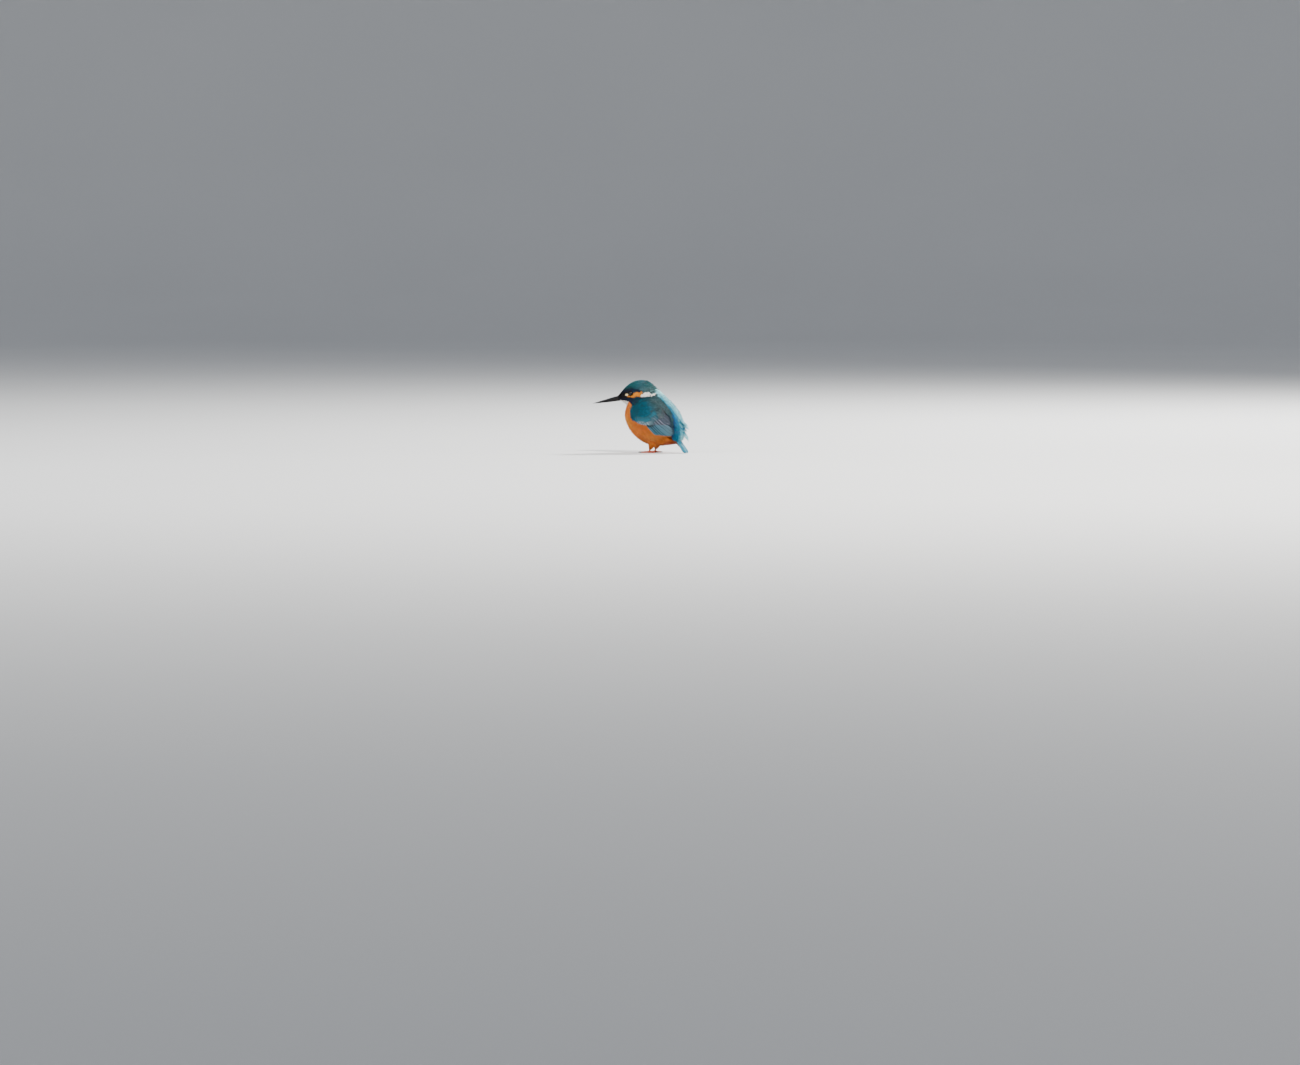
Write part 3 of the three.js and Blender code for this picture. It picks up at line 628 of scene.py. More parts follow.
class Recipe:
    """One material's nodes."""

    def __init__(self, name):
        self.material = bpy.data.materials.new(name)
        self.material.use_nodes = True
        self.tree = self.material.node_tree
        self.tree.nodes.clear()

    def node(self, kind, settings=None, inputs=None, output=0):
        made = self.tree.nodes.new(kind)
        for key, value in (settings or {}).items():
            setattr(made, key, value)
        for key, value in (inputs or {}).items():
            if isinstance(value, Wire):
                self.tree.links.new(value.socket, made.inputs[key])
            else:
                made.inputs[key].default_value = value
        return Wire(self, made.outputs[output])

    def place(self):
        return self.node("ShaderNodeTexCoord", output="Object")

    def noise(self, scale, detail=3.0, where=None):
        where = where or self.place()
        return self.node("ShaderNodeTexNoise", None, {"Vector": where, "Scale": scale, "Detail": detail})

    def mix(self, share, first, second, blend="MIX"):
        settings = {"data_type": "RGBA", "blend_type": blend}
        first, second = (v if isinstance(v, Wire) else (*v, 1) for v in (first, second))
        return self.node("ShaderNodeMix", settings, {0: share, 6: first, 7: second}, output=2)

    def shaded(self, colour, shade):
        """A colour made darker or lighter by a number."""
        grey = self.node("ShaderNodeCombineColor", None, {0: shade, 1: shade, 2: shade})
        return self.mix(1.0, colour, grey, "MULTIPLY")

    def attribute(self, name, output="Color"):
        return self.node("ShaderNodeAttribute", {"attribute_name": name}, output=output)

    def parts(self, vector):
        split = self.node("ShaderNodeSeparateXYZ", None, {0: vector})
        outputs = split.socket.node.outputs
        return [Wire(self, outputs[k]) for k in range(3)]

    def finish(self, colour, roughness, height=None, strength=0.3, depth=0.0002, **fixed):
        shader = self.node("ShaderNodeBsdfPrincipled", None, {"Base Color": colour, "Roughness": roughness})
        made = shader.socket.node
        for key, value in fixed.items():
            made.inputs[key.replace("_", " ")].default_value = value
        if height is not None:
            inputs = {"Height": height, "Strength": strength, "Distance": depth}
            bump = self.node("ShaderNodeBump", None, inputs)
            self.tree.links.new(bump.socket, made.inputs["Normal"])
        end = self.tree.nodes.new("ShaderNodeOutputMaterial")
        self.tree.links.new(shader.socket, end.inputs["Surface"])
        return self.material


def soft_plumage():
    """Small feathers with fine barbs. The tint's fourth number picks the mark: below 0.3 all of the tip, to
    0.7 a bar across it, above 0.7 a spot."""
    r = Recipe("soft_plumage")
    s, c, seed = r.parts(r.attribute("lay", "Vector"))
    pattern = r.attribute("tint", "Alpha")
    middle = c.size()
    tip = s.between(0.45, 0.60)
    bar = s.between(0.60, 0.70) * (1 - s.between(0.78, 0.86))
    spot = s.between(0.66, 0.76) * (1 - middle.between(0.45, 0.75))
    barred = pattern.between(0.28, 0.32)
    spotted = pattern.between(0.68, 0.72)
    marked = tip * (1 - barred) + bar * (barred - spotted) + spot * spotted
    colour = r.mix(marked * r.attribute("mark", "Alpha"), r.attribute("tint"), r.attribute("mark"))
    barbs = (s * 34 - middle * 9 + seed * 20).sine() * 0.5 + 0.5
    grain = r.noise(900.0, 4.0)
    shade = 0.64 + barbs * 0.14 + grain * 0.22 + seed * 0.16 + s * 0.14
    colour = r.shaded(colour, shade)
    return r.finish(colour, 0.62 - barbs * 0.10, barbs + grain, 0.25, Specular_IOR_Level=0.20)


def firm_plumage():
    """Wing and tail feathers: a dark vane, a bright outer edge, a shaft and slanting barbs."""
    r = Recipe("firm_plumage")
    s, c, seed = r.parts(r.attribute("lay", "Vector"))
    strength = r.attribute("mark", "Alpha")
    run, out_to, _ = r.parts(r.attribute("span", "Vector"))
    barbs = (run * 24 - out_to * 20 + seed * 9).sine() * 0.5 + 0.5
    grain = r.noise(1200.0, 3.0)
    lie = r.node("ShaderNodeCombineXYZ", None, {0: run * 3.4 - out_to * 2.9, 1: out_to * 0.5, 2: seed * 40})
    streak = r.noise(1.0, 3.0, lie)
    edge = (c + grain * 0.24 - 0.12).between(0.56, 0.78) * s.between(0.10, 0.35) * (0.88 + barbs * 0.12)
    colour = r.mix(edge * strength, r.attribute("tint"), r.attribute("mark"))
    shaft = 1 - c.size().between(0.02, 0.08)
    colour = r.mix(shaft * 0.8, colour, (0.004, 0.006, 0.008))
    shade = 0.46 + barbs * 0.14 + grain * 0.24 + seed * 0.14 + streak * 0.56
    colour = r.shaded(colour, shade)
    rough = 0.52 - barbs * 0.08
    relief = barbs * 0.4 + shaft + streak * 0.8
    return r.finish(colour, rough, relief, 0.45, Specular_IOR_Level=0.24)


def plume_finish():
    """Glossy azure plumes: bright down the middle and towards the tip, with loose barbs."""
    r = Recipe("azure_plumes")
    s, c, seed = r.parts(r.attribute("lay", "Vector"))
    strength = r.attribute("mark", "Alpha")
    bright = s.between(0.25, 0.85) * (1 - c.size().between(0.55, 1.0) * 0.6)
    colour = r.mix(bright * strength, r.attribute("tint"), r.attribute("mark"))
    # Navy at the root: the plumes' own dark bases, with painted shade where they lie under one another.
    root = 1 - s.between(0.0, 0.30)
    colour = r.mix(root * 0.8, colour, NAVY_SHADE)
    barbs = (s * 60 - c.size() * 20 + seed * 9).sine() * 0.5 + 0.5
    lie = r.node("ShaderNodeCombineXYZ", None, {0: s * 30 - c.size() * 12, 1: c * 3, 2: seed * 40})
    streak = r.noise(1.0, 3.0, lie)
    shade = 0.42 + barbs * 0.18 + streak * 0.62 + seed * 0.16
    colour = r.shaded(colour, shade)
    return r.finish(colour, 0.46 - barbs * 0.10, barbs + streak, 0.45, Specular_IOR_Level=0.28)


def skin_finish():
    r = Recipe("feathered_skin")
    grain = r.noise(1400.0, 5.0)
    streak = r.noise(500.0, 2.0)
    shade = 0.35 + grain * 0.35 + streak * 0.25
    colour = r.shaded(r.attribute("tint"), shade)
    return r.finish(colour, 0.85, grain + streak, 0.6, 0.0004)


def horn_finish():
    r = Recipe("black_horn")
    along = r.node("ShaderNodeMapping", None, {0: r.place(), 3: (60.0, 900.0, 900.0)})
    streaks = r.noise(1.0, 3.0, along)
    blotch = r.noise(160.0, 4.0)
    wear = r.noise(1800.0, 2.0)
    colour = r.mix(streaks.between(0.35, 0.75), (0.004, 0.004, 0.005), (0.012, 0.011, 0.012))
    colour = r.mix(blotch.between(0.5, 0.8) * 0.6, colour, (0.024, 0.019, 0.017))
    # Painted highlight: the upper ridge of the bill is paler grey.
    ridge = r.attribute("ridge", "Fac")
    colour = r.mix(ridge * (0.45 + streaks * 0.4), colour, (0.022, 0.023, 0.026))
    rough = 0.38 + streaks * 0.14 + blotch * 0.12
    return r.finish(colour, rough, streaks * 0.7 + wear * 0.3, 0.35, 0.0001, Specular_IOR_Level=0.14)


def eye_finish(centre, axis):
    """Dark brown iris round a black pupil, under a wet cornea."""
    r = Recipe("wet_dark_eye")
    shifted = r.node("ShaderNodeVectorMath", {"operation": "SUBTRACT"}, {0: r.place(), 1: centre})
    aim = r.node("ShaderNodeVectorMath", {"operation": "NORMALIZE"}, {0: shifted})
    facing = r.node("ShaderNodeVectorMath", {"operation": "DOT_PRODUCT"}, {0: aim, 1: axis}, output="Value")
    threads = r.noise(2600.0, 3.0)
    iris = r.mix(threads, (0.004, 0.0022, 0.0012), (0.014, 0.006, 0.003))
    pupil = facing.between(0.86, 0.89)
    rim = 1 - facing.between(0.55, 0.66)
    colour = r.mix(pupil, iris, (0.001, 0.001, 0.001))
    colour = r.mix(rim, colour, (0.006, 0.004, 0.004))
    return r.finish(colour, 0.04 + threads * 0.01, threads, 0.02, 0.00002, IOR=1.38)


def lid_finish():
    r = Recipe("dark_lid_skin")
    wrinkle = r.noise(2500.0, 4.0)
    colour = r.mix(wrinkle, (0.003, 0.0025, 0.003), (0.014, 0.011, 0.011))
    return r.finish(colour, 0.46 + wrinkle * 0.2, wrinkle, 0.5, 0.0001, Specular_IOR_Level=0.25)


def leg_finish():
    """Coral red scaled skin, browner between the scales."""
    r = Recipe("coral_leg_skin")
    settings = {"feature": "DISTANCE_TO_EDGE"}
    cells = r.node("ShaderNodeTexVoronoi", settings, {"Vector": r.place(), "Scale": 1500.0})
    scale = cells.between(0.02, 0.12)
    tone = r.noise(350.0, 4.0)
    colour = r.mix(tone, (0.44, 0.050, 0.016), (0.62, 0.105, 0.034))
    colour = r.mix((1 - scale) * 0.7, colour, (0.13, 0.020, 0.010))
    return r.finish(colour, 0.38 + tone * 0.18, scale, 0.5, 0.00012, Subsurface_Weight=0.08,
                    Subsurface_Scale=0.001)


def studio_finish():
    r = Recipe("pale_studio_paper")
    tone = r.noise(1.4, 2.0)
    colour = r.mix(tone, (0.70, 0.71, 0.72), (0.74, 0.75, 0.76))
    return r.finish(colour, 0.85, r.noise(900.0, 2.0), 0.04, 0.0005)


# ---- studio ----
VIEW_TURN = math.radians(25)
VIEW_HEIGHT = math.radians(3.4)
LENS = 135.0
PICTURE = (1300, 1065)
PIXEL = 1.25 * MM
ANCHOR_PIXEL = (650.5, 452.6)
ANCHOR = Vector((ORIGIN_SHIFT * MM, 0, 0))
SENSOR = 36.0
BOWL = [(7.0, 0.0), (8.2, 0.12), (9.0, 0.5), (9.4, 1.2), (9.5, 3.5)]
LAMPS = [
    ("key_lamp", (1.7, -0.8, 1.9), 0.50, 125, (1.0, 0.96, 0.90)),
    ("rim_lamp", (0.9, 1.8, 1.7), 0.5, 150, (1.0, 0.98, 0.94)),
    ("fill_lamp", (-1.5, -1.9, 1.25), 1.2, 34, (0.92, 0.96, 1.0)),
]


def studio():
    """Camera, floor that curves up far away, and soft lamps."""
    distance = PICTURE[0] * PIXEL / SENSOR * LENS
    back = Vector((
        math.sin(VIEW_TURN) * math.cos(VIEW_HEIGHT),
        -math.cos(VIEW_TURN) * math.cos(VIEW_HEIGHT),
        math.sin(VIEW_HEIGHT),
    ))
    right = Vector((math.cos(VIEW_TURN), math.sin(VIEW_TURN), 0))
    up = back.cross(right)
    middle = ANCHOR + right * (PICTURE[0] / 2 - ANCHOR_PIXEL[0]) * PIXEL
    middle = middle - up * (PICTURE[1] / 2 - ANCHOR_PIXEL[1]) * PIXEL
    bpy.ops.object.camera_add(location=middle + back * distance)
    camera = bpy.context.object
    camera.rotation_euler = (-back).to_track_quat("-Z", "Y").to_euler()
    camera.data.lens = LENS
    camera.data.sensor_width = SENSOR
    camera.data.clip_start = 0.01
    camera.data.clip_end = 100
    bpy.context.scene.camera = camera

    floor = studio_bowl()
    floor.data.materials.append(studio_finish())

    world = bpy.data.worlds.new("soft_room")
    bpy.context.scene.world = world
    world.use_nodes = True
    sky = world.node_tree.nodes["Background"].inputs
    sky["Color"].default_value = (0.86, 0.91, 1.0, 1)
    sky["Strength"].default_value = 0.36

    for label, place, size, power, colour in LAMPS:
        bpy.ops.object.light_add(type="AREA", location=place)
        lamp = bpy.context.object
        lamp.name = label
        lamp.data.shape = "DISK"
        lamp.data.size = size
        lamp.data.energy = power
        lamp.data.color = colour
        aim = Vector((0, 0, 0.045)) - Vector(place)
        lamp.rotation_euler = aim.to_track_quat("-Z", "Y").to_euler()


def studio_bowl():
    """A round floor that curves up into a wall well behind every camera place."""
    drop_selection()
    bpy.ops.mesh.primitive_circle_add(vertices=96, radius=0.5, fill_type="NGON")
    floor = bpy.context.object
    floor.name = "studio_floor"
    bpy.ops.object.mode_set(mode="EDIT")
    bpy.ops.mesh.select_mode(type="EDGE")
    bpy.ops.mesh.select_all(action="SELECT")
    bpy.ops.mesh.region_to_loop()
    was = (0.5, 0.0)
    for radius, height in BOWL:
        bpy.ops.mesh.extrude_edges_move()
        share = radius / was[0]
        bpy.ops.transform.resize(value=(share, share, 1))
        bpy.ops.transform.translate(value=(0, 0, height - was[1]))
        was = (radius, height)
    bpy.ops.mesh.select_all(action="SELECT")
    bpy.ops.mesh.normals_make_consistent(inside=True)
    bpy.ops.object.mode_set(mode="OBJECT")
    bpy.ops.object.shade_smooth()
    return floor


# ---- shaping by hand ----
def wear(piece, material, slot_name, *nodes):
    piece.data.materials.clear()
    piece.data.materials.append(material)
    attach(piece, "root")
    if nodes:
        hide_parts(*nodes)


def pick(*pieces):
    """Selects these pieces only, with the last of them active."""
    drop_selection()
    for piece in pieces:
        piece.select_set(True)
    bpy.context.view_layer.objects.active = pieces[-1]


def points_of(mesh, field="co"):
    values = np.empty(len(mesh.vertices) * 3)
    mesh.vertices.foreach_get(field, values)
    return values.reshape(-1, 3)


def tint_points(mesh, colours):
    layer = mesh.attributes.new("tint", "FLOAT_COLOR", "POINT")
    layer.data.foreach_set("color", np.broadcast_to(colours, (len(mesh.vertices), 4)).ravel())


def new_sheet(name, rows, columns):
    """A square sheet to wrap round a form, with each point's angle round it and share along it."""
    drop_selection()
    bpy.ops.mesh.primitive_grid_add(x_subdivisions=columns, y_subdivisions=rows, size=1)
    sheet = bpy.context.object
    sheet.name = name
    flat = points_of(sheet.data)
    return sheet, flat[:, 0] * 2 * math.pi, flat[:, 1] + 0.5


def new_ball(segments, rings, radius):
    drop_selection()
    bpy.ops.mesh.primitive_uv_sphere_add(segments=segments, ring_count=rings, radius=radius * MM)
    return bpy.context.object


def settle(piece):
    """Applies modifiers and place, so that the object sits unturned at the origin."""
    pick(piece)
    for modifier in list(piece.modifiers):
        bpy.ops.object.modifier_apply(modifier=modifier.name)
    bpy.ops.object.transform_apply(location=True, rotation=True, scale=True)
    bpy.ops.object.shade_smooth()
    return piece


def drawn_out(name, stations, vertices):
    """A round bar drawn out along +X, in millimetres. Each station is x, z, half width, half height."""
    drop_selection()
    x, z, wide, high = stations[0]
    upright = (0, math.pi / 2, 0)
    bpy.ops.mesh.primitive_circle_add(vertices=vertices, radius=MM, fill_type="NGON", rotation=upright)
    piece = bpy.context.object
    piece.name = name
    bpy.ops.object.transform_apply(location=False, rotation=True, scale=False)
    bpy.ops.object.mode_set(mode="EDIT")
    bpy.ops.mesh.select_mode(type="FACE")
    bpy.ops.mesh.select_all(action="SELECT")
    bpy.ops.transform.resize(value=(1, wide, high))
    bpy.ops.transform.translate(value=(x * MM, 0, z * MM))
    for x2, z2, wide2, high2 in stations[1:]:
        move = ((x2 - x) * MM, 0, (z2 - z) * MM)
        bpy.ops.mesh.extrude_region_move(TRANSFORM_OT_translate={"value": move})
        bpy.ops.transform.resize(value=(1, wide2 / wide, high2 / high))
        x, z, wide, high = x2, z2, wide2, high2
    bpy.ops.mesh.select_all(action="SELECT")
    bpy.ops.mesh.normals_make_consistent(inside=False)
    bpy.ops.object.mode_set(mode="OBJECT")
    smooth = piece.modifiers.new("smooth", "SUBSURF")
    smooth.levels = 1
    smooth.render_levels = 1
    return piece


def model_place(at):
    return (Vector(at) + Vector((ORIGIN_SHIFT, 0, 0))) * MM


def place_turned(piece, at, euler):
    """Sets a finished piece down at a place in the bird's millimetres."""
    piece.rotation_euler = euler
    piece.location = model_place(at)
    settle(piece)


def in_head(point):
    """A place in the head's own frame, turned with the head."""
    return Vector(turned(np.array(point, float), 1.0))


# ---- skin ----
def coat_depth(t):
    return np.interp(t, [0, 2, 5, 9, 13, 18, 21], [0.35, 0.6, 0.9, 1.2, 1.6, 1.6, 1.0])


def make_skin():
    """One skin under the plumage: a sheet wrapped round the body and closed at both ends."""
    skin, around, share = new_sheet("skin", 150, 96)
    t = share * LAST_SECTION
    at = body_place(t, around, -coat_depth(t))
    skin.data.vertices.foreach_set("co", to_model(at).ravel())
    tint, _ = markings(t, around, np.zeros((len(t), 2)))
    tint_points(skin.data, with_strength(tint, 1.0))
    bpy.ops.object.mode_set(mode="EDIT")
    bpy.ops.mesh.select_all(action="SELECT")
    bpy.ops.mesh.remove_doubles(threshold=1e-6)
    bpy.ops.mesh.select_all(action="DESELECT")
    bpy.ops.mesh.select_mode(type="EDGE")
    bpy.ops.mesh.select_non_manifold()
    bpy.ops.mesh.edge_face_add()
    bpy.ops.mesh.select_all(action="SELECT")
    bpy.ops.mesh.normals_make_consistent(inside=False)
    bpy.ops.object.mode_set(mode="OBJECT")
    return settle(skin)


# ---- the coat of small feathers ----
FEATHER_LENGTH_BACK = [(0, 1.2), (1, 1.5), (2, 1.9), (4, 2.6), (6, 3.3), (8, 4.2), (10, 5.4), (12, 6.4),
                       (17, 7.0), (21, 6)]
FEATHER_LENGTH_BELLY = [(0, 1.2), (1, 1.6), (2, 2.2), (4, 3.2), (6, 4.6), (9, 6.4), (12, 8.0), (15, 9.5),
                        (21, 8.5)]
LEAST_GAP = 0.3


def feather_length(t, around):
    down = np.abs(np.degrees(around))
    back = np.interp(t, *zip(*FEATHER_LENGTH_BACK))
    belly = np.interp(t, *zip(*FEATHER_LENGTH_BELLY))
    return back + (belly - back) * ease(down, 70, 115)


def scattered(rng, tries, gap_share, allowed):
    """Root places over the body, none nearer to another than its own gap."""
    step = 0.05
    count_t, count_a = 90, 120
    line_t = np.linspace(step, LAST_SECTION - step, count_t)
    grid_t, grid_a = np.meshgrid(line_t, np.linspace(-math.pi, math.pi, count_a))
    area = np.linalg.norm(np.cross(
        body_place(grid_t + step, grid_a) - body_place(grid_t - step, grid_a),
        body_place(grid_t, grid_a + step) - body_place(grid_t, grid_a - step),
    ), axis=-1)
    gap_grid = np.maximum(feather_length(grid_t, grid_a) * gap_share, LEAST_GAP)
    weight = area / gap_grid ** 2
    weight = weight * allowed(grid_t.ravel(), grid_a.ravel()).reshape(grid_t.shape)
    weight = (weight / weight.sum()).ravel()
    drawn = rng.choice(weight.size, tries, p=weight)
    t = grid_t.ravel()[drawn] + rng.uniform(-0.5, 0.5, tries) * (LAST_SECTION / (count_t - 1))
    around = grid_a.ravel()[drawn] + rng.uniform(-0.5, 0.5, tries) * (2 * math.pi / (count_a - 1))
    t = np.clip(t, step, LAST_SECTION - step)
    keep = allowed(t, around)
    t = t[keep]
    around = around[keep]
    at = body_place(t, around)
    gap = np.maximum(feather_length(t, around) * gap_share, LEAST_GAP)
    cell = gap.max()
    taken = {}
    chosen = []
    keys = np.floor(at / cell).astype(int)
    neighbours = [(i, j, k) for i in (-1, 0, 1) for j in (-1, 0, 1) for k in (-1, 0, 1)]
    for index in range(len(t)):
        x, y, z = at[index]
        kx, ky, kz = keys[index]
        near = gap[index] ** 2
        for i, j, k in neighbours:
            if any(
                (x - ox) ** 2 + (y - oy) ** 2 + (z - oz) ** 2 < near
                for ox, oy, oz in taken.get((kx + i, ky + j, kz + k), ())
            ):
                break
        else:
            taken.setdefault((kx, ky, kz), []).append((x, y, z))
            chosen.append(index)
    chosen = np.array(chosen)
    return t[chosen], around[chosen]


def clear_of_eyes(t, around, length):
    """Shortens feathers that would lie over an eye. Says also which stay, because they can be short enough,
    and which start right behind the eye."""
    place = body_place(t, around, straight=True)
    aim = unit(body_place(t + 0.05, around, straight=True) - place)[:, ::2]
    side = np.sign(place[:, 1])
    beside = np.abs(place[:, 1] * side - EYE_AT[1]) < 8
    gap = EYE_AT[::2] - place[:, ::2]
    speed = np.linalg.norm(aim, axis=-1)
    ahead = np.sum(gap * aim, -1) / speed ** 2
    passing = np.linalg.norm(gap - aim * ahead[:, None], axis=-1)
    reach = EYE_RADIUS * 0.95 + 0.15 * length
    inner = np.sqrt(np.maximum(reach ** 2 - passing ** 2, 0)) / speed
    hits = beside & (ahead > 0) & (passing < reach)
    length = np.minimum(length, np.where(hits, np.maximum(ahead - inner, 0.3), length))
    under = beside & (np.hypot(gap[:, 0], gap[:, 1]) < EYE_RADIUS * 0.84)
    behind = beside & (np.hypot(gap[:, 0], gap[:, 1]) < EYE_RADIUS * 1.2) & (ahead < 0)
    return length, ~under & (length > 0.45), behind


def coat_rows(rng, t, around, length, width_share, yaw=0.10):
    """The arrays that a patch of coat is built from, laid along the body."""
    at, along, out = body_frame(t, around)
    side = np.cross(out, along)
    swing = rng.normal(0, yaw, len(t))[:, None]
    along = unit(along * np.cos(swing) + side * np.sin(swing))
    seen_t = t + 0.6 * length / np.maximum(speed_along(t, around), 0.4)
    tint, mark = markings(np.minimum(seen_t, LAST_SECTION), around, rng.normal(0, 0.35, (len(t), 2)))
    tone = np.exp(rng.normal(0, 0.10, (len(t), 1)))
    tint = tint * tone
    curve = body_curve(t, around, length)
    return Rows(at, along, out, length, length * width_share, curve, skin_uv(t, around), tint, mark)


def under_wing(t, around):
    """Whether a place lies well under a folded wing."""
    place = body_place(t, around, straight=True)
    dx = place[:, 0] - WING_CENTRE[0]
    dz = place[:, 2] - WING_CENTRE[1]
    p = dx * math.cos(BODY_SLOPE) - dz * math.sin(BODY_SLOPE)
    q = dx * math.sin(BODY_SLOPE) + dz * math.cos(BODY_SLOPE)
    in_shield = np.hypot((p + 8) / 22, (q - 3) / 15) < 0.85
    in_flight = (p > -5) & (p < 24) & (q > -4) & (q < 12)
    return (in_shield | in_flight) & (np.abs(place[:, 1]) > MANTLE_HALF)


def tract(t, around):
    """Which tract a place is in: the back (3), crown (2), shoulders and mantle (1) or the rest (0)."""
    _, mark = markings(t, around, np.zeros((len(t), 2)))
    return np.digitize(mark[:, 3], (0.40, 0.46, 0.95)).choose((0, 3, 1, 2))


# Each tract's name, slot, number from tract(), first and last section, gap as a share of the feather's
# length, tries, fan, width as a share of the length, and how far its tips stand off.
TRACTS = [
    ("coat_face", "crown_feathers", 0, (0.0, 4.6), 0.24, 60000, "face", 0.46, 0.08),
    ("coat_crown", "crown_feathers", 2, (0.0, 9.0), 0.25, 60000, "crown", 0.52, 0.12),
    ("coat_cheek", "neck_feathers", 0, (4.6, 9.6), 0.22, 34000, "collar", 0.44, 0.18),
    ("coat_shoulder", "neck_feathers", 1, (3.0, 14.5), 0.26, 26000, "scaled", 0.58, 0.20),
    ("coat_back", "rump_feathers", 3, (7.8, 21.0), 0.24, 16000, "silk", 0.50, 0.35),
    ("coat_breast", "breast_feathers", 0, (9.6, 13.0), 0.19, 24000, "down", 0.42, 0.25),
    ("coat_belly", "breast_feathers", 0, (13.0, 16.5), 0.19, 20000, "down", 0.42, 0.25),
    ("coat_vent", "breast_feathers", 0, (16.5, 21.0), 0.19, 18000, "down", 0.42, 0.25),
]


def make_coat(rng, finish):
    for name, slot_name, kind, (first, last), gap_share, tries, fan, width_share, rise in TRACTS:
        t, around = scattered(rng, tries, gap_share, lambda t, a: (
            (t >= first) & (t < last) & (tract(t, a) == kind) & ~under_wing(t, a)))
        length = feather_length(t, around) * rng.uniform(0.85, 1.15, len(t))
        length, keep, behind = clear_of_eyes(t, around, length)
        t, around, length, behind = (part[keep] for part in (t, around, length, behind))
        rows = coat_rows(rng, t, around, length, width_share)
        loose = ease(t, 13.5, 16.5) * (1 - ease(t, 19.5, 20.5)) * ease(np.abs(around), 2.0, 2.6)
        rows.curve = rows.curve * (1 - 0.5 * loose)
        sunk = (coat_depth(t) + 0.1) * np.where(behind, 0.25, 1.0)
        lift = rise * rng.uniform(0.2, 1.2, len(t))
        wear(tufts(name, rows, sunk, lift, fan, rng), finish, slot_name)
    make_nape(rng, finish)
    make_eye_edge(rng, finish)


def make_eye_edge(rng, finish):
    """Small feathers that start under the back of each lid and close the gap behind it."""
    tries, most = 60000, 140
    t = rng.uniform(4.0, 8.0, tries)
    around = rng.uniform(-2.4, 2.4, tries)
    place = body_place(t, around, straight=True)
    gap = place[:, ::2] - EYE_AT[::2]
    far = np.linalg.norm(gap, axis=-1) / EYE_RADIUS
    beside = np.abs(np.abs(place[:, 1]) - EYE_AT[1]) < 8
    near = (far > 0.96) & (far < 1.20) & (gap[:, 0] > -0.5) & beside
    t = t[near][:most]
    around = around[near][:most]
    rows = coat_rows(rng, t, around, rng.uniform(2.0, 2.8, len(t)), 0.46)
    piece = tufts("coat_eye_edge", rows, 0.22, rng.uniform(0.02, 0.14, len(t)), "eye edge", rng)
    wear(piece, finish, "crown_feathers")


def make_nape(rng, finish):
    """Longer dark feathers that end the crown in a ragged edge, with tips painted pale grey as a sheen
    towards the back.
    """
    n = 150
    t = rng.uniform(5.6, 7.9, n)
    around = rng.uniform(-0.85, 0.85, n)
    length = rng.uniform(4.6, 6.4, n)
    rows = coat_rows(rng, t, around, length, 0.42, 0.12)
    pale = ease(t, 6.2, 7.6) * rng.random(n)
    rows.tint = varied(rng, CROWN_DARK, n, 0.8, 1.6)
    rows.mark = with_strength(mixed(CROWN_BAR, NAPE_SHEEN_GREY, pale), 1.0)
    piece = tufts("coat_nape", rows, coat_depth(t), rng.uniform(0.5, 1.0, n), "nape", rng)
    wear(piece, finish, "crown_feathers")


# ---- wings ----
def rounded(s):
    """Outline of a flight feather, from a narrow root to a rounded tip."""
    tip = np.sqrt(np.clip(1 - ((s - 0.86) / 0.14).clip(0, 1) ** 2, 0.02, 1))
    return (0.5 + 0.5 * ease(s, 0, 0.4)) * tip


def blunt(s):
    tip = np.sqrt(np.clip(1 - ((s - 0.62) / 0.38).clip(0, 1) ** 2, 0.03, 1))
    return (0.7 + 0.3 * ease(s, 0, 0.3)) * tip


def covert_edge(q):
    """How far tailward the great coverts reach."""
    return 9.5 - 16.5 * (np.maximum(0, -2 - q) / 16) ** 1.6


def covert_heading(q):
    return np.radians(-20 + 25 * ease(q, -18, 10))


def wing_lines(tips, length, heading, lift, side, count):
    """Centre lines of wing feathers from tip places, lengths and headings on the wing."""
    s = np.linspace(0, 1, count)[None, :]
    p_root = tips[:, 0] - length * np.cos(heading)
    q_root = tips[:, 1] - length * np.sin(heading)
    p = p_root[:, None] + (tips[:, 0] - p_root)[:, None] * s
    q = q_root[:, None] + (tips[:, 1] - q_root)[:, None] * s
    drop = 1.2 * (1 - ease(s, 0, 0.35))
    return wing_place(p, q, lift[:, None] - drop, side)


def further(p, q, heading, step, lift, side):
    """The place on the wing that lies a step further along a heading."""
    return wing_place(p + np.cos(heading) * step, q + np.sin(heading) * step, lift, side)[0]


def wing_uv(p, q):
    return np.stack([0.5 + p / 90, 0.5 + q / 90], -1)


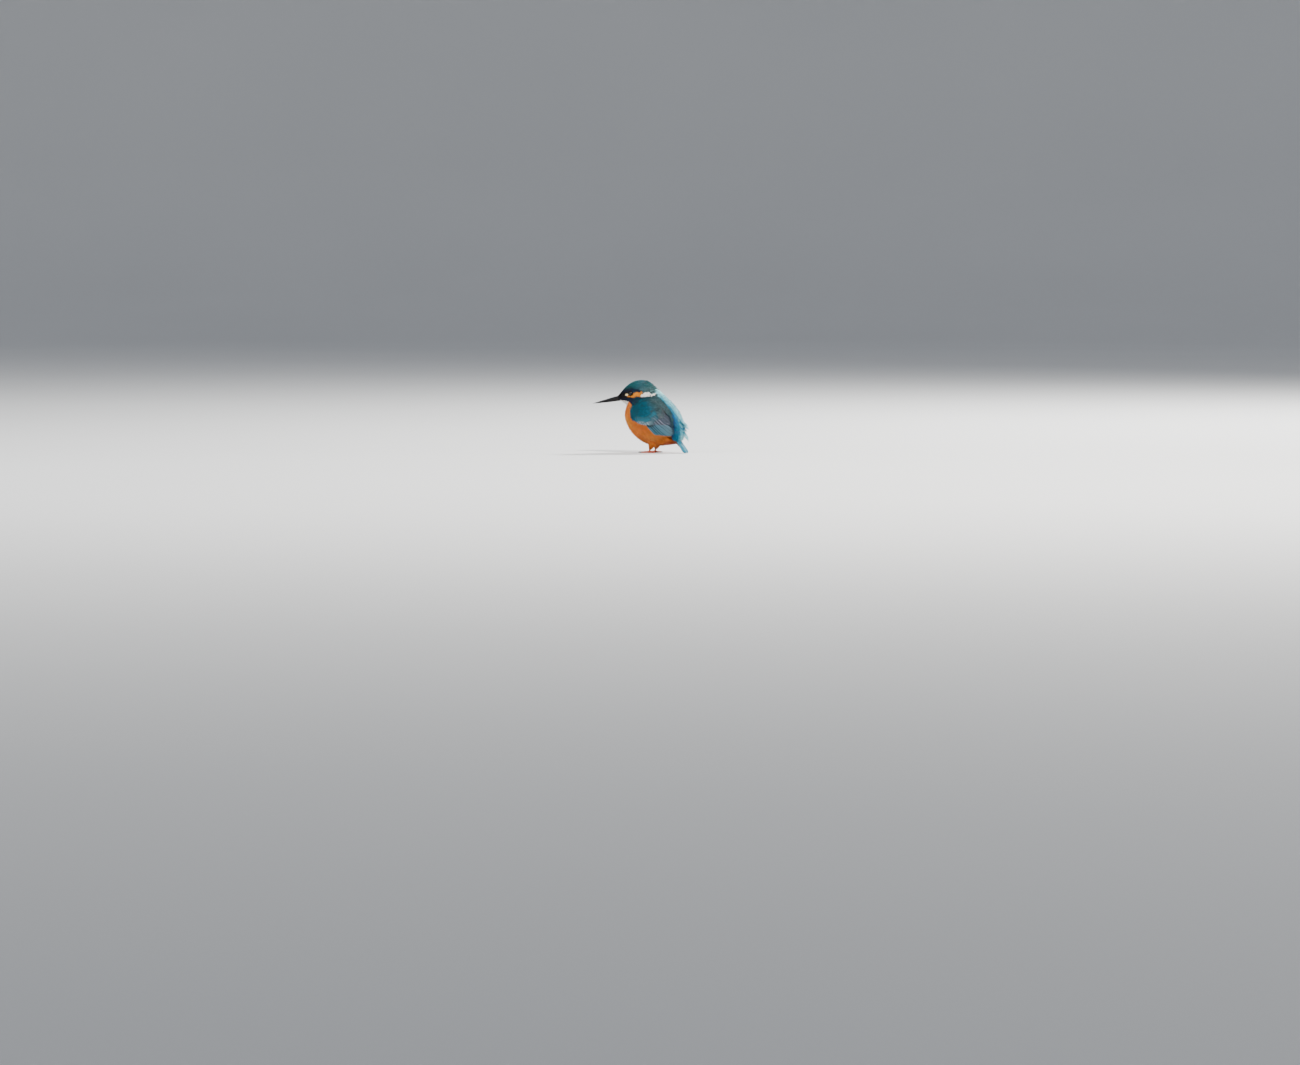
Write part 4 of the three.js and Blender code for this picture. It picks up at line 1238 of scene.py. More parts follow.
def make_wing(side, rng, firm, soft):
    word = "left" if side < 0 else "right"

    def tier(name, tips, length, heading, lift, width, outline, outer, tint, mark, count, roll, cover,
             notches=2):
        """One row of shingled feathers. Outer is the share of the width on the leading side of the shaft, and
        cover how far from the coverts' edge the row above ends. Under that row the feathers get painted
        shadow."""
        n = len(tips)
        length, width = (np.broadcast_to(part, n) for part in (length, width))
        centre, out = wing_lines(tips, length, heading, lift, side, count)
        left = 1 - np.linspace(0, 1, count)[None, :]
        p = tips[:, :1] - (length * np.cos(heading))[:, None] * left
        q = tips[:, 1:] - (length * np.sin(heading))[:, None] * left
        # Painted shadow: darkest on the flight feathers under the great coverts, slight under the other rows.
        deepest_shadow, ramp = (0.16, 4.0) if cover == 0 else (0.9, 1.4)
        shade = deepest_shadow + (1 - deepest_shadow) * ease(p - covert_edge(q) - cover, 0.0, ramp)
        split = outer if side < 0 else 1 - outer
        uv = wing_uv(*tips.T)
        piece = vanes(f"{name}_{word}", centre, out, width, 0.22, outline, split, uv, tint, mark, rng,
                      np.full(n, side), notches, roll * side, shade)
        wear(piece, firm, "wing_feathers")
        return piece

    n = 15
    share = np.linspace(0, 1, n)
    tips = rows_at(FLIGHT_TIPS, share * (len(FLIGHT_TIPS) - 1))
    tips = tips + rng.normal(0, 0.15, tips.shape)
    tint = varied(rng, FLIGHT_DARK, n, 0.8, 1.2)
    mark = with_strength(mixed(FLIGHT_EDGE, FLIGHT_EDGE_GREY, share), 1.0)
    flight = tier("flight_feathers", tips, tips[:, 0] + 4, np.radians(5 * share), 1.0 + 1.0 * share,
                  4.2 + 1.0 * share, rounded, 0.40, tint, mark, 34, 0.09, 0.0)

    tips = np.array(TERTIAL_TIPS)
    n = len(tips)
    tint = varied(rng, TERTIAL_GREY, n, 0.8, 1.2)
    mark = np.tile((*TERTIAL_EDGE, 0.9), (n, 1))
    heading = np.radians(np.linspace(-4, 6, n))
    tier("tertials", tips, np.linspace(13, 17, n), heading, 2.3 + 0.10 * np.arange(n), 5.6, blunt, 0.45, tint,
         mark, 30, 0.06, -12.0, 3)

    n = 16
    q = np.linspace(-15.5, 7, n)
    tips = np.stack([covert_edge(q), q], -1) + rng.normal(0, 0.2, (n, 2))
    tint = varied(rng, GREAT_COVERT, n, 0.8, 1.2)
    mark = with_strength(mixed(GREAT_COVERT_TIP, GREAT_COVERT_GREY, ease(q, -6, 3)), 1.0)
    tier("great_coverts", tips, 10.0, covert_heading(q), 2.9 + 0.03 * np.arange(n), 3.0, blunt, 0.5, tint,
         mark, 24, 0.08, -5.4)

    n = 15
    q = np.linspace(-14.5, 9, n)
    tips = np.stack([covert_edge(q) - 5.4, q], -1) + rng.normal(0, 0.25, (n, 2))
    tint = varied(rng, MIDDLE_COVERT, n, 0.8, 1.2)
    mark = np.tile((*MIDDLE_COVERT_TIP, 1.0), (n, 1))
    tier("middle_coverts", tips, 7.5, covert_heading(q), 3.1 + 0.02 * np.arange(n), 3.2, blunt, 0.5, tint,
         mark, 20, 0.06, -9.6)

    make_small_coverts(side, word, rng, soft)
    make_scapulars(side, word, rng, soft)
    make_wing_bed(side, word)
    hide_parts(f"wing_{word}")


def make_small_coverts(side, word, rng, soft):
    """The soft shield of small coverts, which sinks into the plumage at its rim."""
    p, q = shield_places(rng, 1900, 1.08)
    n = len(p)
    back = ease(q, 4, 13)
    length = 3.6 + 2.4 * ease(p, -26, -2) + 3.4 * back
    heading = covert_heading(q) + rng.normal(0, 0.06, n)
    p_off = p - SHIELD_CENTRE[0]
    q_off = q - SHIELD_CENTRE[1]
    across = q_off * math.cos(SHIELD_TILT) - p_off * math.sin(SHIELD_TILT)
    down = q_off * math.sin(SHIELD_TILT) + p_off * math.cos(SHIELD_TILT)
    far = np.hypot(down / SHIELD_SEMI[0], across / SHIELD_SEMI[1])
    base = 1.2 - 1.5 * ease(far, 0.70, 1.0) * ease(across, -4, 5)
    at, out = wing_place(p, q, base, side)
    along = unit(further(p, q, heading, 0.5, base, side) - at)
    end = further(p, q, heading, length, base, side)
    run = np.maximum(np.sum((end - at) * along, -1), length * 0.6)
    curve = np.clip(-2 * np.sum((end - at) * out, -1) / run ** 2, -0.03, 0.16)
    keep = np.abs(end[:, 1]) > MANTLE_HALF
    lilac = np.exp(-((p + 2) / 5) ** 2 - ((q - 13) / 4) ** 2)
    tint = mixed(SHOULDER_TEAL, MANTLE_TEAL, back) * np.exp(rng.normal(0, 0.18, (n, 1)))
    tint = mixed(tint, LILAC_DARK, lilac * 0.45)
    mark = with_strength(mixed(mixed(SHOULDER_SPOT, MANTLE_EDGE, back), LILAC_TIP, lilac), 0.9)
    rows = Rows(at, along, out, length, length * 0.68, curve, wing_uv(p, q), tint, mark).kept(keep)
    rim = ease(far[keep], 0.75, 1.0)
    piece = tufts(f"small_coverts_{word}", rows, 0.6 + 0.6 * rim, 1.35 - 0.9 * rim, "covert", rng)
    wear(piece, soft, "wing_feathers")


def make_scapulars(side, word, rng, soft):
    """Loose feathers that fall from the mantle over the roots of the tertials."""
    n = 260
    q = rng.uniform(6.0, 15.5, n)
    p = np.interp(q, [6.0, 12.4, 15.5], [3.0, 9.0, 5.5]) - rng.uniform(0, 10, n)
    heading = np.radians(2) + rng.normal(0, 0.06, n)
    base = np.full(n, 2.5)
    length = rng.uniform(4.6, 6.2, n)
    at, out = wing_place(p, q, base, side)
    along = unit(further(p, q, heading, length, base, side) - at)
    grey = rng.random(n)
    tint = mixed(MANTLE_TEAL, SCAPULAR_GREY, grey * 0.6) * np.exp(rng.normal(0, 0.18, (n, 1)))
    mark = with_strength(mixed(MANTLE_EDGE, SCAPULAR_TIP, grey * ease(p, -2, 8)), 0.9)
    rows = Rows(at, along, out, length, length * 0.62, 0.01, wing_uv(p, q), tint, mark)
    wear(tufts(f"scapulars_{word}", rows, 0.9, 0.9, "covert", rng), soft, "wing_feathers")


def shield_places(rng, tries, gap):
    """Scattered places on the covert shield, none nearer to another than gap."""
    chosen = []
    turn = (math.cos(SHIELD_TILT), math.sin(SHIELD_TILT))
    for _ in range(tries * 4):
        along = rng.uniform(-1, 1)
        across = rng.uniform(-1, 1)
        if along ** 2 + across ** 2 > 1:
            continue
        a = along * SHIELD_SEMI[0] * 1.04
        b = across * SHIELD_SEMI[1] * 1.10
        p = SHIELD_CENTRE[0] + a * turn[0] - b * turn[1]
        q = SHIELD_CENTRE[1] + a * turn[1] + b * turn[0]
        if p > min(covert_edge(np.array(q)) - 7.6, 4) and q < 8:
            continue
        if all((p - x) ** 2 + (q - y) ** 2 > gap ** 2 for x, y in chosen):
            chosen.append((p, q))
    return np.array(chosen).T


def make_wing_bed(side, word):
    """The feathered arm under the coverts, which closes the gaps between them."""
    bed, angle, r = new_sheet(f"wing_bed_{word}", 26, 40)
    a = r * SHIELD_SEMI[0] * np.cos(angle)
    b = r * SHIELD_SEMI[1] * np.sin(angle)
    p = SHIELD_CENTRE[0] + a * math.cos(SHIELD_TILT) - b * math.sin(SHIELD_TILT)
    q = SHIELD_CENTRE[1] + a * math.sin(SHIELD_TILT) + b * math.cos(SHIELD_TILT)
    lift = 1.3 - 2.8 * ease(r, 0.58, 0.92)
    at, _ = wing_place(p, q, lift, side)
    bed.data.vertices.foreach_set("co", to_model(at).ravel())
    tint_points(bed.data, (*WING_BED, 1))
    bpy.ops.object.mode_set(mode="EDIT")
    bpy.ops.mesh.select_all(action="SELECT")
    bpy.ops.mesh.remove_doubles(threshold=1e-6)
    bpy.ops.mesh.normals_make_consistent(inside=False)
    bpy.ops.object.mode_set(mode="OBJECT")
    bed.modifiers.new("flesh", "SOLIDIFY").thickness = 0.6 * MM
    wear(settle(bed), skin_material, "wing_feathers")


# ---- tail and rump ----
TAILWARD = np.array([math.cos(TAIL_SLOPE), 0, -math.sin(TAIL_SLOPE)])
TAIL_UP = np.array([math.sin(TAIL_SLOPE), 0, math.cos(TAIL_SLOPE)])


def tail_place(reach, height):
    """Places by the tail: reach runs tailward from its root, height to its upper side."""
    reach, height = (np.asarray(part, float)[..., None] for part in (reach, height))
    return np.array([TAIL_ROOT[0], 0, TAIL_ROOT[1]]) + TAILWARD * reach + TAIL_UP * height


def make_tail(rng, firm):
    roots = []
    tips = []
    for i in range(TAIL_PAIRS):
        for side in (-1, 1):
            share = (i + 0.5) / TAIL_PAIRS
            root = tail_place(1.0, 0.9 - 0.16 * i)
            root[1] = side * share * 5.2
            tip = tail_place(TAIL_LENGTH - 2.6 * share ** 2, 1.2 - 0.22 * i)
            tip[1] = side * share * 7.4
            over = min(0, tip[2] - 0.15)
            tip = tip + TAILWARD * (over / math.sin(TAIL_SLOPE) - rng.uniform(0, 0.9))
            tip[1] += rng.normal(0, 0.22)
            roots.append(root)
            tips.append(tip)
    roots = np.array(roots)
    tips = np.array(tips)
    n = len(roots)
    out = np.tile(TAIL_UP, (n, 1))[:, None, :]
    s = np.linspace(0, 1, 30)[None, :, None]
    sag = 0.3 * 4 * s * (1 - s)
    centre = roots[:, None, :] * (1 - s) + tips[:, None, :] * s + out * sag
    tint = varied(rng, TAIL_BLUE, n, 0.75, 1.2)
    mark = np.tile((*TAIL_EDGE, 0.8), (n, 1))
    uv = np.stack([0.5 + tips[:, 1] / 40, np.linspace(0.3, 0.7, n)], -1)
    width = np.full(n, TAIL_FEATHER_WIDTH)
    facing = 0.84 * np.sign(tips[:, 1])
    piece = vanes("tail_feathers", centre, np.broadcast_to(out, centre.shape), width, 0.16, rounded, 0.5, uv,
                  tint, mark, rng, facing, 1)
    wear(piece, firm, "tail_feathers", "tail")


# Prongs of ruffled plumes: [x, z] of the root, the tip, width and how pale, a painted highlight.
PLUMES_IN_PRONG = 7
PRONGS = [
    ((37.0, 46.0), (53.6, -0.8, 32.4), 4.6, 1.0),
    ((37.5, 45.0), (51.6, -3.6, 34.0), 4.2, 0.8),
    ((38.0, 44.0), (52.6, 3.0, 30.8), 4.6, 0.8),
    ((39.0, 41.0), (54.2, 0.8, 27.4), 4.4, 0.9),
    ((39.4, 40.0), (52.4, -2.6, 29.0), 4.2, 0.6),
    ((39.2, 40.0), (52.4, 4.4, 27.2), 4.2, 0.6),
    ((40.6, 36.0), (49.4, -2.6, 25.8), 4.0, 0.1),
    ((40.0, 37.0), (47.6, -5.6, 27.2), 4.0, 0.1),
    ((40.6, 36.0), (49.6, 3.6, 24.6), 4.0, 0.1),
    ((41.6, 30.5), (54.6, 0.6, 12.6), 4.4, 1.0),
    ((41.0, 30.5), (53.0, -2.2, 14.8), 4.0, 0.8),
    ((41.2, 30.0), (52.8, 3.2, 15.4), 4.0, 0.7),
]


def make_rump_plumes(rng, finish):
    """Long azure plumes from the nape over the back and rump."""
    n = 460
    t = rng.uniform(8.6, 16.8, n)
    around = rng.uniform(-1, 1, n) * np.interp(t, [8.6, 10, 12, 16.8], [0.46, 0.42, 0.44, 0.75])
    at, along, out = body_frame(t, around, -0.9)
    slope = np.array([math.cos(BODY_SLOPE + 0.10), 0, -math.sin(BODY_SLOPE + 0.10)])
    lean = ease(t, 12.0, 15.5)[:, None] * 0.62
    away = unit(along * (1 - lean) + slope * lean + rng.normal(0, 0.05, (n, 3)))
    length = np.interp(t, [8.6, 12, 17], [6.5, 11, 13]) * rng.uniform(0.85, 1.15, n)
    y = np.abs(at[:, 1])
    # Painted shade: navy towards the sides by the wings. Painted highlight: a near-white tip mark down the
    # middle.
    tint = mixed(BACK_AZURE, RUMP_BLUE, ease(y, 4, 9) * ease(t, 9, 12))
    tint = mixed(tint, NAVY_SHADE, ease(y, 6, 10) * ease(t, 12.5, 14.5) * 0.8) * rng.uniform(0.7, 1.2, (n, 1))
    bright = mixed(BACK_PAINTED_HIGHLIGHT, BACK_AZURE, ease(y, 3, 7.5))
    mark = np.append(bright, (0.45 + 0.5 * rng.random((n, 1))) * (1 - 0.5 * ease(y, 7, 12))[:, None], 1)
    away = unit(away)
    width = length * rng.uniform(0.30, 0.42, n)
    rows = Rows(at, away, square_to(out, away), length, width, 0.012, skin_uv(t, around), tint, mark)
    wear(tufts("rump_plumes", rows, 0.1, rng.uniform(0.7, 1.4, n), "plume", rng), finish, "rump_feathers")


def make_tail_coverts(rng, finish):
    n = 110
    y = rng.uniform(-4.6, 4.6, n)
    reach = rng.uniform(3.5, 14.0, n)
    length = rng.uniform(8.0, 10.5, n)
    at = tail_place(reach - length, 1.1)
    at[:, 1] = y * 0.8
    away = unit(TAILWARD + np.array([0, 0.03, 0]) * y[:, None] + rng.normal(0, 0.03, (n, 3)))
    out = square_to(np.tile(TAIL_UP, (n, 1)) + np.array([0, 0.10, 0]) * y[:, None], away)
    tint = mixed(RUMP_BLUE, BACK_AZURE, rng.random(n) * 0.8) * rng.uniform(0.8, 1.2, (n, 1))
    mark = np.append(np.tile(BACK_AZURE, (n, 1)), rng.uniform(0.4, 0.9, (n, 1)), 1)
    uv = np.stack([0.5 + y / 20, 0.90 + reach / 200], -1)
    rows = Rows(at, away, out, length, 3.2, 0.004, uv, tint, mark)
    wear(tufts("tail_coverts", rows, 0.1, 0.9 - reach * 0.04, "tail covert", rng), finish, "rump_feathers")


def make_prongs(rng, finish):
    """Plumes ruffled clear of the rump."""
    roots = []
    tips = []
    widths = []
    pales = []
    for (x, z), point, width, pale in PRONGS:
        for _ in range(PLUMES_IN_PRONG):
            root = np.array((x, point[1] * 0.85, z)) + rng.normal(0, 0.7, 3)
            tip = np.array(point) + rng.normal(0, 0.4, 3)
            tips.append(tip + (root - tip) * rng.uniform(0, 0.14))
            roots.append(root)
            widths.append(width * rng.uniform(0.40, 0.66))
            pales.append(pale)
    root, tip, width, pale = (np.array(part) for part in (roots, tips, widths, pales))
    n = len(root)
    away = unit(tip - root)
    out = unit(np.cross(away, np.array([0, 1.0, 0])))
    out = out * np.where(out[:, :1] < 0, -1, 1)
    # Paler prongs are painted towards near-white, a painted highlight; the others stay deeper blue.
    tint = mixed(RUMP_BLUE, BACK_AZURE, pale) * rng.uniform(0.85, 1.15, (n, 1))
    mark = np.append(mixed(BACK_AZURE, BACK_PAINTED_HIGHLIGHT, pale), rng.uniform(0.5, 1.0, (n, 1)), 1)
    uv = np.stack([0.4 + tip[:, 1] / 60, np.linspace(0.55, 0.95, n)], -1)
    rows = Rows(root, away, out, np.linalg.norm(tip - root, axis=-1), width, 0.004, uv, tint, mark)
    piece = tufts("ruffled_plumes", rows, 0.1, rng.uniform(0.3, 0.9, n), "prong", rng, 0.5)
    wear(piece, finish, "rump_feathers")


def make_vent(rng, soft):
    """Soft rust plumes that flow from the belly's end and flanks to the underside of the tail."""
    n = 520
    t = rng.uniform(16.8, 20.9, n)
    around = rng.choice((-1, 1), n) * rng.uniform(1.25, math.pi, n)
    root, tangent, out = body_frame(t, around, -0.5)
    reach = rng.uniform(7, 18, n)
    below = 0.7 + np.maximum(0, -np.cos(around)) * 4.2 * (1 - reach / 21)
    end = tail_place(reach, -below)
    end[:, 1] = np.sin(around) * 5.4 * (1 - reach / 26)
    along = unit(tangent * 0.35 + unit(end - root) * 0.65)
    longest = 12.0 + 10.0 * ease(t, 18.4, 20.4)
    length = np.minimum(np.linalg.norm(end - root, axis=-1), longest) * rng.uniform(0.7, 1.0, n)
    rust = ease(t + rng.normal(0, 0.5, n), 17.2, 19.2)
    tint = mixed(BELLY_BROWN, VENT_RUST, rust) * rng.uniform(0.75, 1.2, (n, 1))
    mark = with_strength(mixed(BREAST_ORANGE, RUST_TIP, rust), 0.3)
    width = 2.2 + length * 0.10
    rows = Rows(root, along, square_to(out, along), length, width, 0.004, skin_uv(t, around), tint, mark)
    tail_height = (root + along * length[:, None] - tail_place(0, 0)) @ TAIL_UP
    wear(tufts("vent_plumes", rows.kept(tail_height < -1.0), 0.3, 0.5, "vent", rng), soft, "rump_feathers")


def make_undertail(rng, soft):
    n = 150
    length = rng.uniform(8.0, 11.0, n)
    reach = rng.uniform(4.0, 17.0, n)
    y = rng.uniform(-1, 1, n) * (5.0 - reach * 0.08)
    below = (3.6 - reach * 0.17) * np.sqrt(1 - (y / 5.4) ** 2) + 0.5
    tip = tail_place(reach, -below)
    tip[:, 1] = y
    lean = TAILWARD + TAIL_UP * 0.16 - np.array([0, 0.02, 0]) * y[:, None]
    along = unit(lean + rng.normal(0, 0.03, (n, 3)))
    out = unit(np.array([0, 0.22, 0]) * y[:, None] - TAIL_UP * (0.4 + below[:, None] * 0.3))
    tint = varied(rng, VENT_RUST, n, 0.8, 1.4)
    mark = np.tile((*RUST_TIP, 0.3), (n, 1))
    uv = np.stack([0.5 + y / 20, 0.86 + reach / 200], -1)
    root = tip - along * length[:, None]
    rows = Rows(root, along, square_to(out, along), length, 3.0, 0.0, uv, tint, mark)
    wear(tufts("undertail_plumes", rows, 0.2, 0.2, "undertail", rng), soft, "rump_feathers")


# ---- bill, eyes and lids ----
BILL_TIP = (-73.6, 61.0)
BILL_TOP = (-39.6, 71.6)
BILL_LOW = (-38.2, 64.7)
BILL_WIDTH = 7.0
BILL_STATIONS = 15
GAPE = 0.36
NOSTRIL_SIZE = (1.45, 0.5, 0.40)
NOSTRIL_BACK = 5.0
NOSTRIL_OUT = 2.35
NOSTRIL_DOWN = 3.5
NOSTRIL_SLOPE = math.radians(-16)
CORNEA_RISE = 0.35
LID_THICK = 0.36
LID_WRINKLES = 24


def make_bill(material):
    """Each half is drawn out from its root, flattened on the side where the two meet, and set in the head."""
    span_x = BILL_TOP[0] - BILL_LOW[0]
    span_z = BILL_TOP[1] - BILL_LOW[1]
    gape = (BILL_LOW[0] + span_x * GAPE, BILL_LOW[1] + span_z * GAPE)
    slope = math.atan2(gape[1] - BILL_TIP[1], gape[0] - BILL_TIP[0])
    reach = math.hypot(gape[0] - BILL_TIP[0], gape[1] - BILL_TIP[1])
    for name, node, top, share in (
        ("upper_bill", "bill_upper", True, 1 - GAPE),
        ("lower_bill", "bill_lower", False, GAPE),
    ):
        depth = math.hypot(span_x, span_z) * share
        stations = []
        for s in np.linspace(0, 1, BILL_STATIONS):
            taper = 1 - 0.975 * s
            bulge = 0.9 * s * (1 - s) if top else 1.1 * s * (1 - s)
            wide = BILL_WIDTH / 2 * taper ** 0.9 + 0.02
            stations.append((reach * s - 1.2 * (1 - s), 0.0, wide, depth * taper + bulge))
        piece = drawn_out(name, stations, 32)
        settle(piece)
        shape_bill_half(piece, top)
        mark_ridge_highlight(piece, top)
        turn = Matrix.Rotation(HEAD_TURN, 4, "Z") @ Matrix.Rotation(math.pi, 4, "Z")
        euler = (turn @ Matrix.Rotation(slope, 4, "Y")).to_euler()
        place_turned(piece, in_head((gape[0], 0, gape[1])), euler)
        if top:
            cut_nostrils(piece)
        wear(piece, material, "horn", node)


def shape_bill_half(piece, top):
    """Flattens the gape side of a half and squeezes the other side to a ridge."""
    for vertex in piece.data.vertices:
        place = vertex.co
        outward = place.z if top else -place.z
        if outward < 0:
            place.z *= 0.04
            place.y *= 0.97
        else:
            place.y *= 1 - 0.28 * min(1, outward / (4.2 * MM))


def cut_nostrils(piece):
    """Cuts a slanting slit into each side of the upper half, close to the feathers."""
    for side in (-1, 1):
        cutter = new_ball(24, 16, 1)
        cutter.scale = NOSTRIL_SIZE
        turn = Matrix.Rotation(HEAD_TURN, 4, "Z") @ Matrix.Rotation(NOSTRIL_SLOPE, 4, "Y")
        at = in_head((BILL_TOP[0] - NOSTRIL_BACK, side * NOSTRIL_OUT, BILL_TOP[1] - NOSTRIL_DOWN))
        place_turned(cutter, at, turn.to_euler())
        slit = piece.modifiers.new("nostril", "BOOLEAN")
        slit.operation = "DIFFERENCE"
        slit.object = cutter
        settle(piece)
        bpy.data.objects.remove(cutter)


def mark_ridge_highlight(piece, top):
    """Writes how near each point is to the bill's upper ridge, which is painted paler grey as a highlight."""
    place = points_of(piece.data) / MM
    height = np.maximum(4.6 * (1 - place[:, 0] / 37), 0.2)
    ridge = ease(place[:, 2] / height, 0.35, 0.95) * (1 - ease(place[:, 0], 26, 36)) * top
    layer = piece.data.attributes.new("ridge", "FLOAT", "POINT")
    layer.data.foreach_set("value", ridge.astype(np.float32))


def make_eyes():
    for side, word in ((-1, "left"), (1, "right")):
        centre = in_head(EYE_AT * (1, side, 1))
        axis = in_head(EYE_AT * (1, side, 1) + np.array((-0.12, side, 0.05))) - centre
        axis.normalize()
        facing = axis.to_track_quat("Z", "Y").to_euler()
        eye = new_ball(48, 32, EYE_RADIUS - 0.05)
        eye.name = f"eyeball_{word}"
        for vertex in eye.data.vertices:
            height = vertex.co.z / (EYE_RADIUS * MM)
            if height > 0.7:
                vertex.co.z += CORNEA_RISE * MM * float(ease(height, 0.7, 1.0))
        place_turned(eye, centre, facing)
        wear(eye, eye_finish(tuple(model_place(centre)), tuple(axis)), "eye", f"eye_{word}")

        drop_selection()
        bpy.ops.mesh.primitive_torus_add(major_segments=64, minor_segments=14,
                                         major_radius=EYE_RADIUS * 0.90 * MM, minor_radius=LID_THICK * MM)
        lid = bpy.context.object
        lid.name = f"lids_{word}"
        for vertex in lid.data.vertices:
            angle = math.atan2(vertex.co.y, vertex.co.x)
            vertex.co.z *= 0.8
            vertex.co.z += 0.05 * MM * math.sin(angle * LID_WRINKLES)
        place_turned(lid, centre + axis * EYE_RADIUS * 0.50, facing)
        wear(lid, lid_finish(), "eye")


# ---- legs and feet ----
LEG_X = 4.0
LEG_Y = 8.2
THIGH_Z = 6.6
ANKLE_Z = 2.5
FOOT_FORE = 1.6
FOOT_OUT = 0.4
PAD_SIZE = (2.6, 2.1, 1.7)
PAD_Z = 1.2
CLAW_LENGTH = 3.4
CLAW_Z = 0.82
THIGH_BACK = 3.2
THIGH_TOP = 15.0
FLOOR_GAP = 0.02
TOES = (("outer", 10.5, -16), ("middle", 12.5, 2), ("inner", 7.5, 24), ("hind", 8.0, 176))

# Stations of a shank, a toe and a claw: the share of its length and its radius.
SHANK = ((0, 1.15), (0.12, 1.1), (0.25, 0.92), (0.45, 0.85), (0.7, 0.88), (0.9, 1.1), (1.0, 1.2))
TOE = ((0, 1.15), (0.1, 1.15), (0.22, 0.92), (0.36, 0.98), (0.5, 1.12), (0.62, 0.88), (0.76, 0.86),
       (0.88, 0.98), (1.0, 0.66))
CLAW = ((-0.2, 0.5), (0, 0.62), (0.25, 0.55), (0.5, 0.42), (0.75, 0.26), (0.92, 0.12), (1.0, 0.04))
THIGH = ((0, 4.6), (0.33, 3.8), (0.66, 2.5), (0.9, 1.5), (1.0, 1.1))


def make_legs(leg_material, horn):
    for side, word in ((-1, "left"), (1, "right")):
        foot = Vector((LEG_X - FOOT_FORE, side * (LEG_Y + FOOT_OUT), 0))
        top = Vector((LEG_X, side * LEG_Y, THIGH_Z + 0.6))
        low = Vector((foot.x, foot.y, ANKLE_Z - 1.0))
        length = (low - top).length
        shank = drawn_out(f"shank_{word}", [(s * length, 0, r, r * 1.1) for s, r in SHANK], 20)
        scale_rings(shank, 0.11, 1.3)
        place_turned(shank, top, (low - top).to_track_quat("X", "Z").to_euler())
        wear(shank, leg_material, "leg_skin", f"tarsus_{word}")
        toes = [make_toe(foot, side, word, *toe, horn) for toe in TOES]
        pad = new_ball(28, 16, 1)
        pad.name = f"foot_skin_{word}"
        pad.scale = PAD_SIZE
        place_turned(pad, foot + Vector((0, 0, PAD_Z)), Euler((0, 0, 0)))
        pick(*toes, pad)
        bpy.ops.object.join()
        flatten_soles(pad)
        wear(pad, leg_material, "leg_skin", f"foot_{word}")


def make_toe(foot, side, word, toe_word, reach, turn, horn):
    """A toe, which is joined to its foot later, and the claw that it ends in."""
    heading = math.radians(180 + side * turn)
    piece = drawn_out(f"toe_{word}_{toe_word}", [(s * reach, 1.1 - 0.3 * s, r, r * 0.92) for s, r in TOE], 16)
    scale_rings(piece, 0.12, 1.1)
    place_turned(piece, foot, Euler((0, 0, heading)))
    stations = []
    for s, r in CLAW:
        stations.append((CLAW_LENGTH * s, 1.2 * s * (1 - s) - 0.60 * max(0, s) ** 1.5, r * 0.85, r))
    claw = drawn_out(f"claw_{word}_{toe_word}_horn", stations, 16)
    start = foot + Vector((math.cos(heading), math.sin(heading), 0)) * (reach + 0.1)
    place_turned(claw, start + Vector((0, 0, CLAW_Z)), Euler((0, 0, heading)))
    wear(claw, horn, "horn", f"claw_{word}_{toe_word}")
    return piece


def scale_rings(piece, height, pitch):
    """Presses scute rings into a leg or toe that is still drawn along +X."""
    settle(piece)
    bpy.ops.object.mode_set(mode="EDIT")
    bpy.ops.mesh.select_all(action="SELECT")
    bpy.ops.mesh.subdivide(number_cuts=2, smoothness=1.0)
    bpy.ops.object.mode_set(mode="OBJECT")
    mesh = piece.data
    place = points_of(mesh)
    normal = points_of(mesh, "normal")
    wave = np.abs(np.sin(math.pi * place[:, 0] / (pitch * MM))) ** 0.5 - 0.5
    press = height * MM * wave * (0.3 + 0.7 * np.maximum(0, normal[:, 2]))
    mesh.vertices.foreach_set("co", (place + normal * press[:, None]).ravel())
    mesh.update()


def flatten_soles(piece):
    """Sets the undersides of a foot down just above the floor."""
    for vertex in piece.data.vertices:
        if vertex.co.z < 0.10 * MM:
            vertex.co.z = max(FLOOR_GAP * MM, vertex.co.z * 0.1)


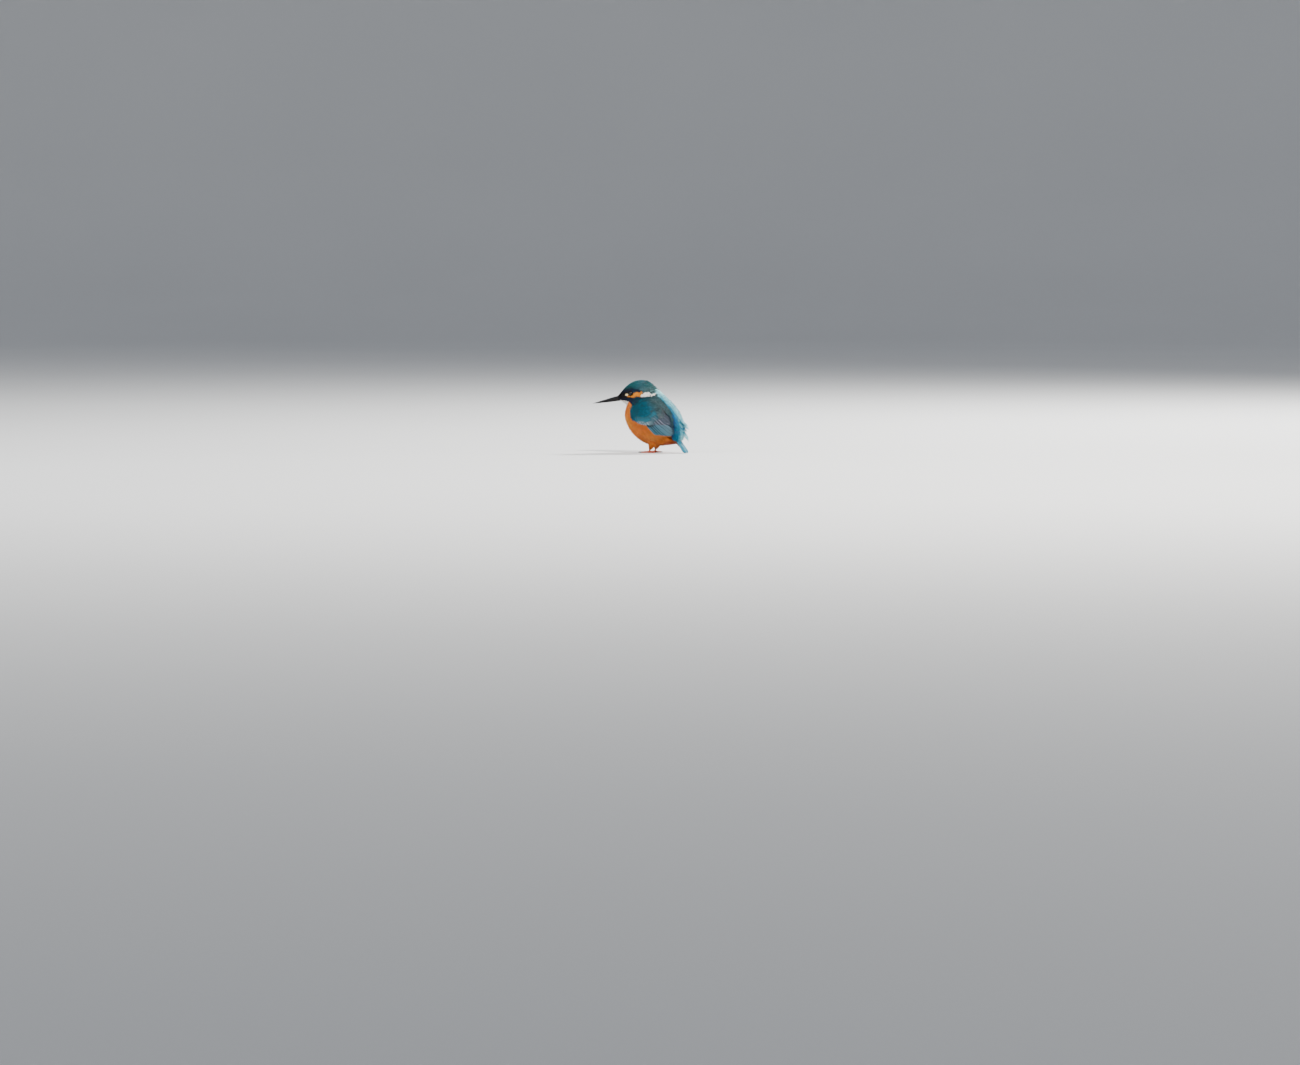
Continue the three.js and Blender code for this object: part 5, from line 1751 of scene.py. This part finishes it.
def make_thighs(rng, soft):
    """Short orange trousers over the upper legs."""
    each = 260
    at = []
    along = []
    out = []
    for side in (-1, 1):
        top = np.array([LEG_X + THIGH_BACK, side * (LEG_Y - 0.6), THIGH_TOP])
        low = np.array([LEG_X - 0.4, side * (LEG_Y + 0.1), THIGH_Z - 1.2])
        axis = unit(low - top)
        across = unit(np.cross(axis, [1.0, 0, 0]))
        fore = np.cross(across, axis)
        share = rng.uniform(0.0, 0.86, each)
        angle = rng.uniform(0, 2 * math.pi, each)
        radius = np.interp(share, [0, 0.33, 0.66, 1], [6.4, 5.2, 3.3, 1.3]) - 0.5
        around = across[None] * np.cos(angle)[:, None] + fore[None] * np.sin(angle)[:, None]
        at.append(top + (low - top) * share[:, None] + around * radius[:, None])
        along.append(unit(axis[None] - around * 0.36))
        out.append(around)
    at, along, out = (np.concatenate(part) for part in (at, along, out))
    n = len(at)
    room = (at[:, 2] - 3.9) / np.maximum(-along[:, 2], 0.3)
    length = np.minimum(rng.uniform(4.0, 6.0, n), room)
    tint = mixed(BELLY_BROWN, BREAST_RED, rng.random(n)) * rng.uniform(0.7, 1.2, (n, 1))
    mark = np.tile((*BREAST_GOLD, 0.20), (n, 1))
    uv = rng.uniform(0.05, 0.95, (n, 2))
    rows = Rows(at, along, square_to(out, along), length, length * 0.5, 0.0, uv, tint, mark)
    wear(tufts("thigh_tufts", rows, 0.3, 0.35, "trousers", rng), soft, "breast_feathers")


def make_thigh_skin(skin):
    """The feathered upper legs, joined to the one skin."""
    parts = []
    for side in (-1, 1):
        top = Vector((LEG_X + THIGH_BACK, side * (LEG_Y - 0.6), THIGH_TOP))
        low = Vector((LEG_X - 0.2, side * (LEG_Y + 0.05), THIGH_Z - 0.4))
        length = (low - top).length
        part = drawn_out(f"thigh_skin_{side}", [(s * length, 0, r, r) for s, r in THIGH], 20)
        place_turned(part, top, (low - top).to_track_quat("X", "Z").to_euler())
        tint_points(part.data, (*BELLY_BROWN, 1))
        parts.append(part)
    pick(*parts, skin)
    bpy.ops.object.join()


# ---- the bird ----
rng = np.random.default_rng(7)
studio()
skin_material = skin_finish()
soft_material = soft_plumage()
plume_material = plume_finish()
firm_material = firm_plumage()
horn_material = horn_finish()
leg_material = leg_finish()

skin = make_skin()
make_thigh_skin(skin)
wear(skin, skin_material, "breast_feathers", "head", "neck", "torso", "rump", "thigh_left", "thigh_right")
make_coat(rng, soft_material)
make_thighs(rng, soft_material)
for side in (-1, 1):
    make_wing(side, rng, firm_material, soft_material)
make_tail(rng, firm_material)
make_rump_plumes(rng, plume_material)
make_tail_coverts(rng, plume_material)
make_prongs(rng, plume_material)
make_vent(rng, soft_material)
make_undertail(rng, soft_material)
make_bill(horn_material)
make_eyes()
make_legs(leg_material, horn_material)
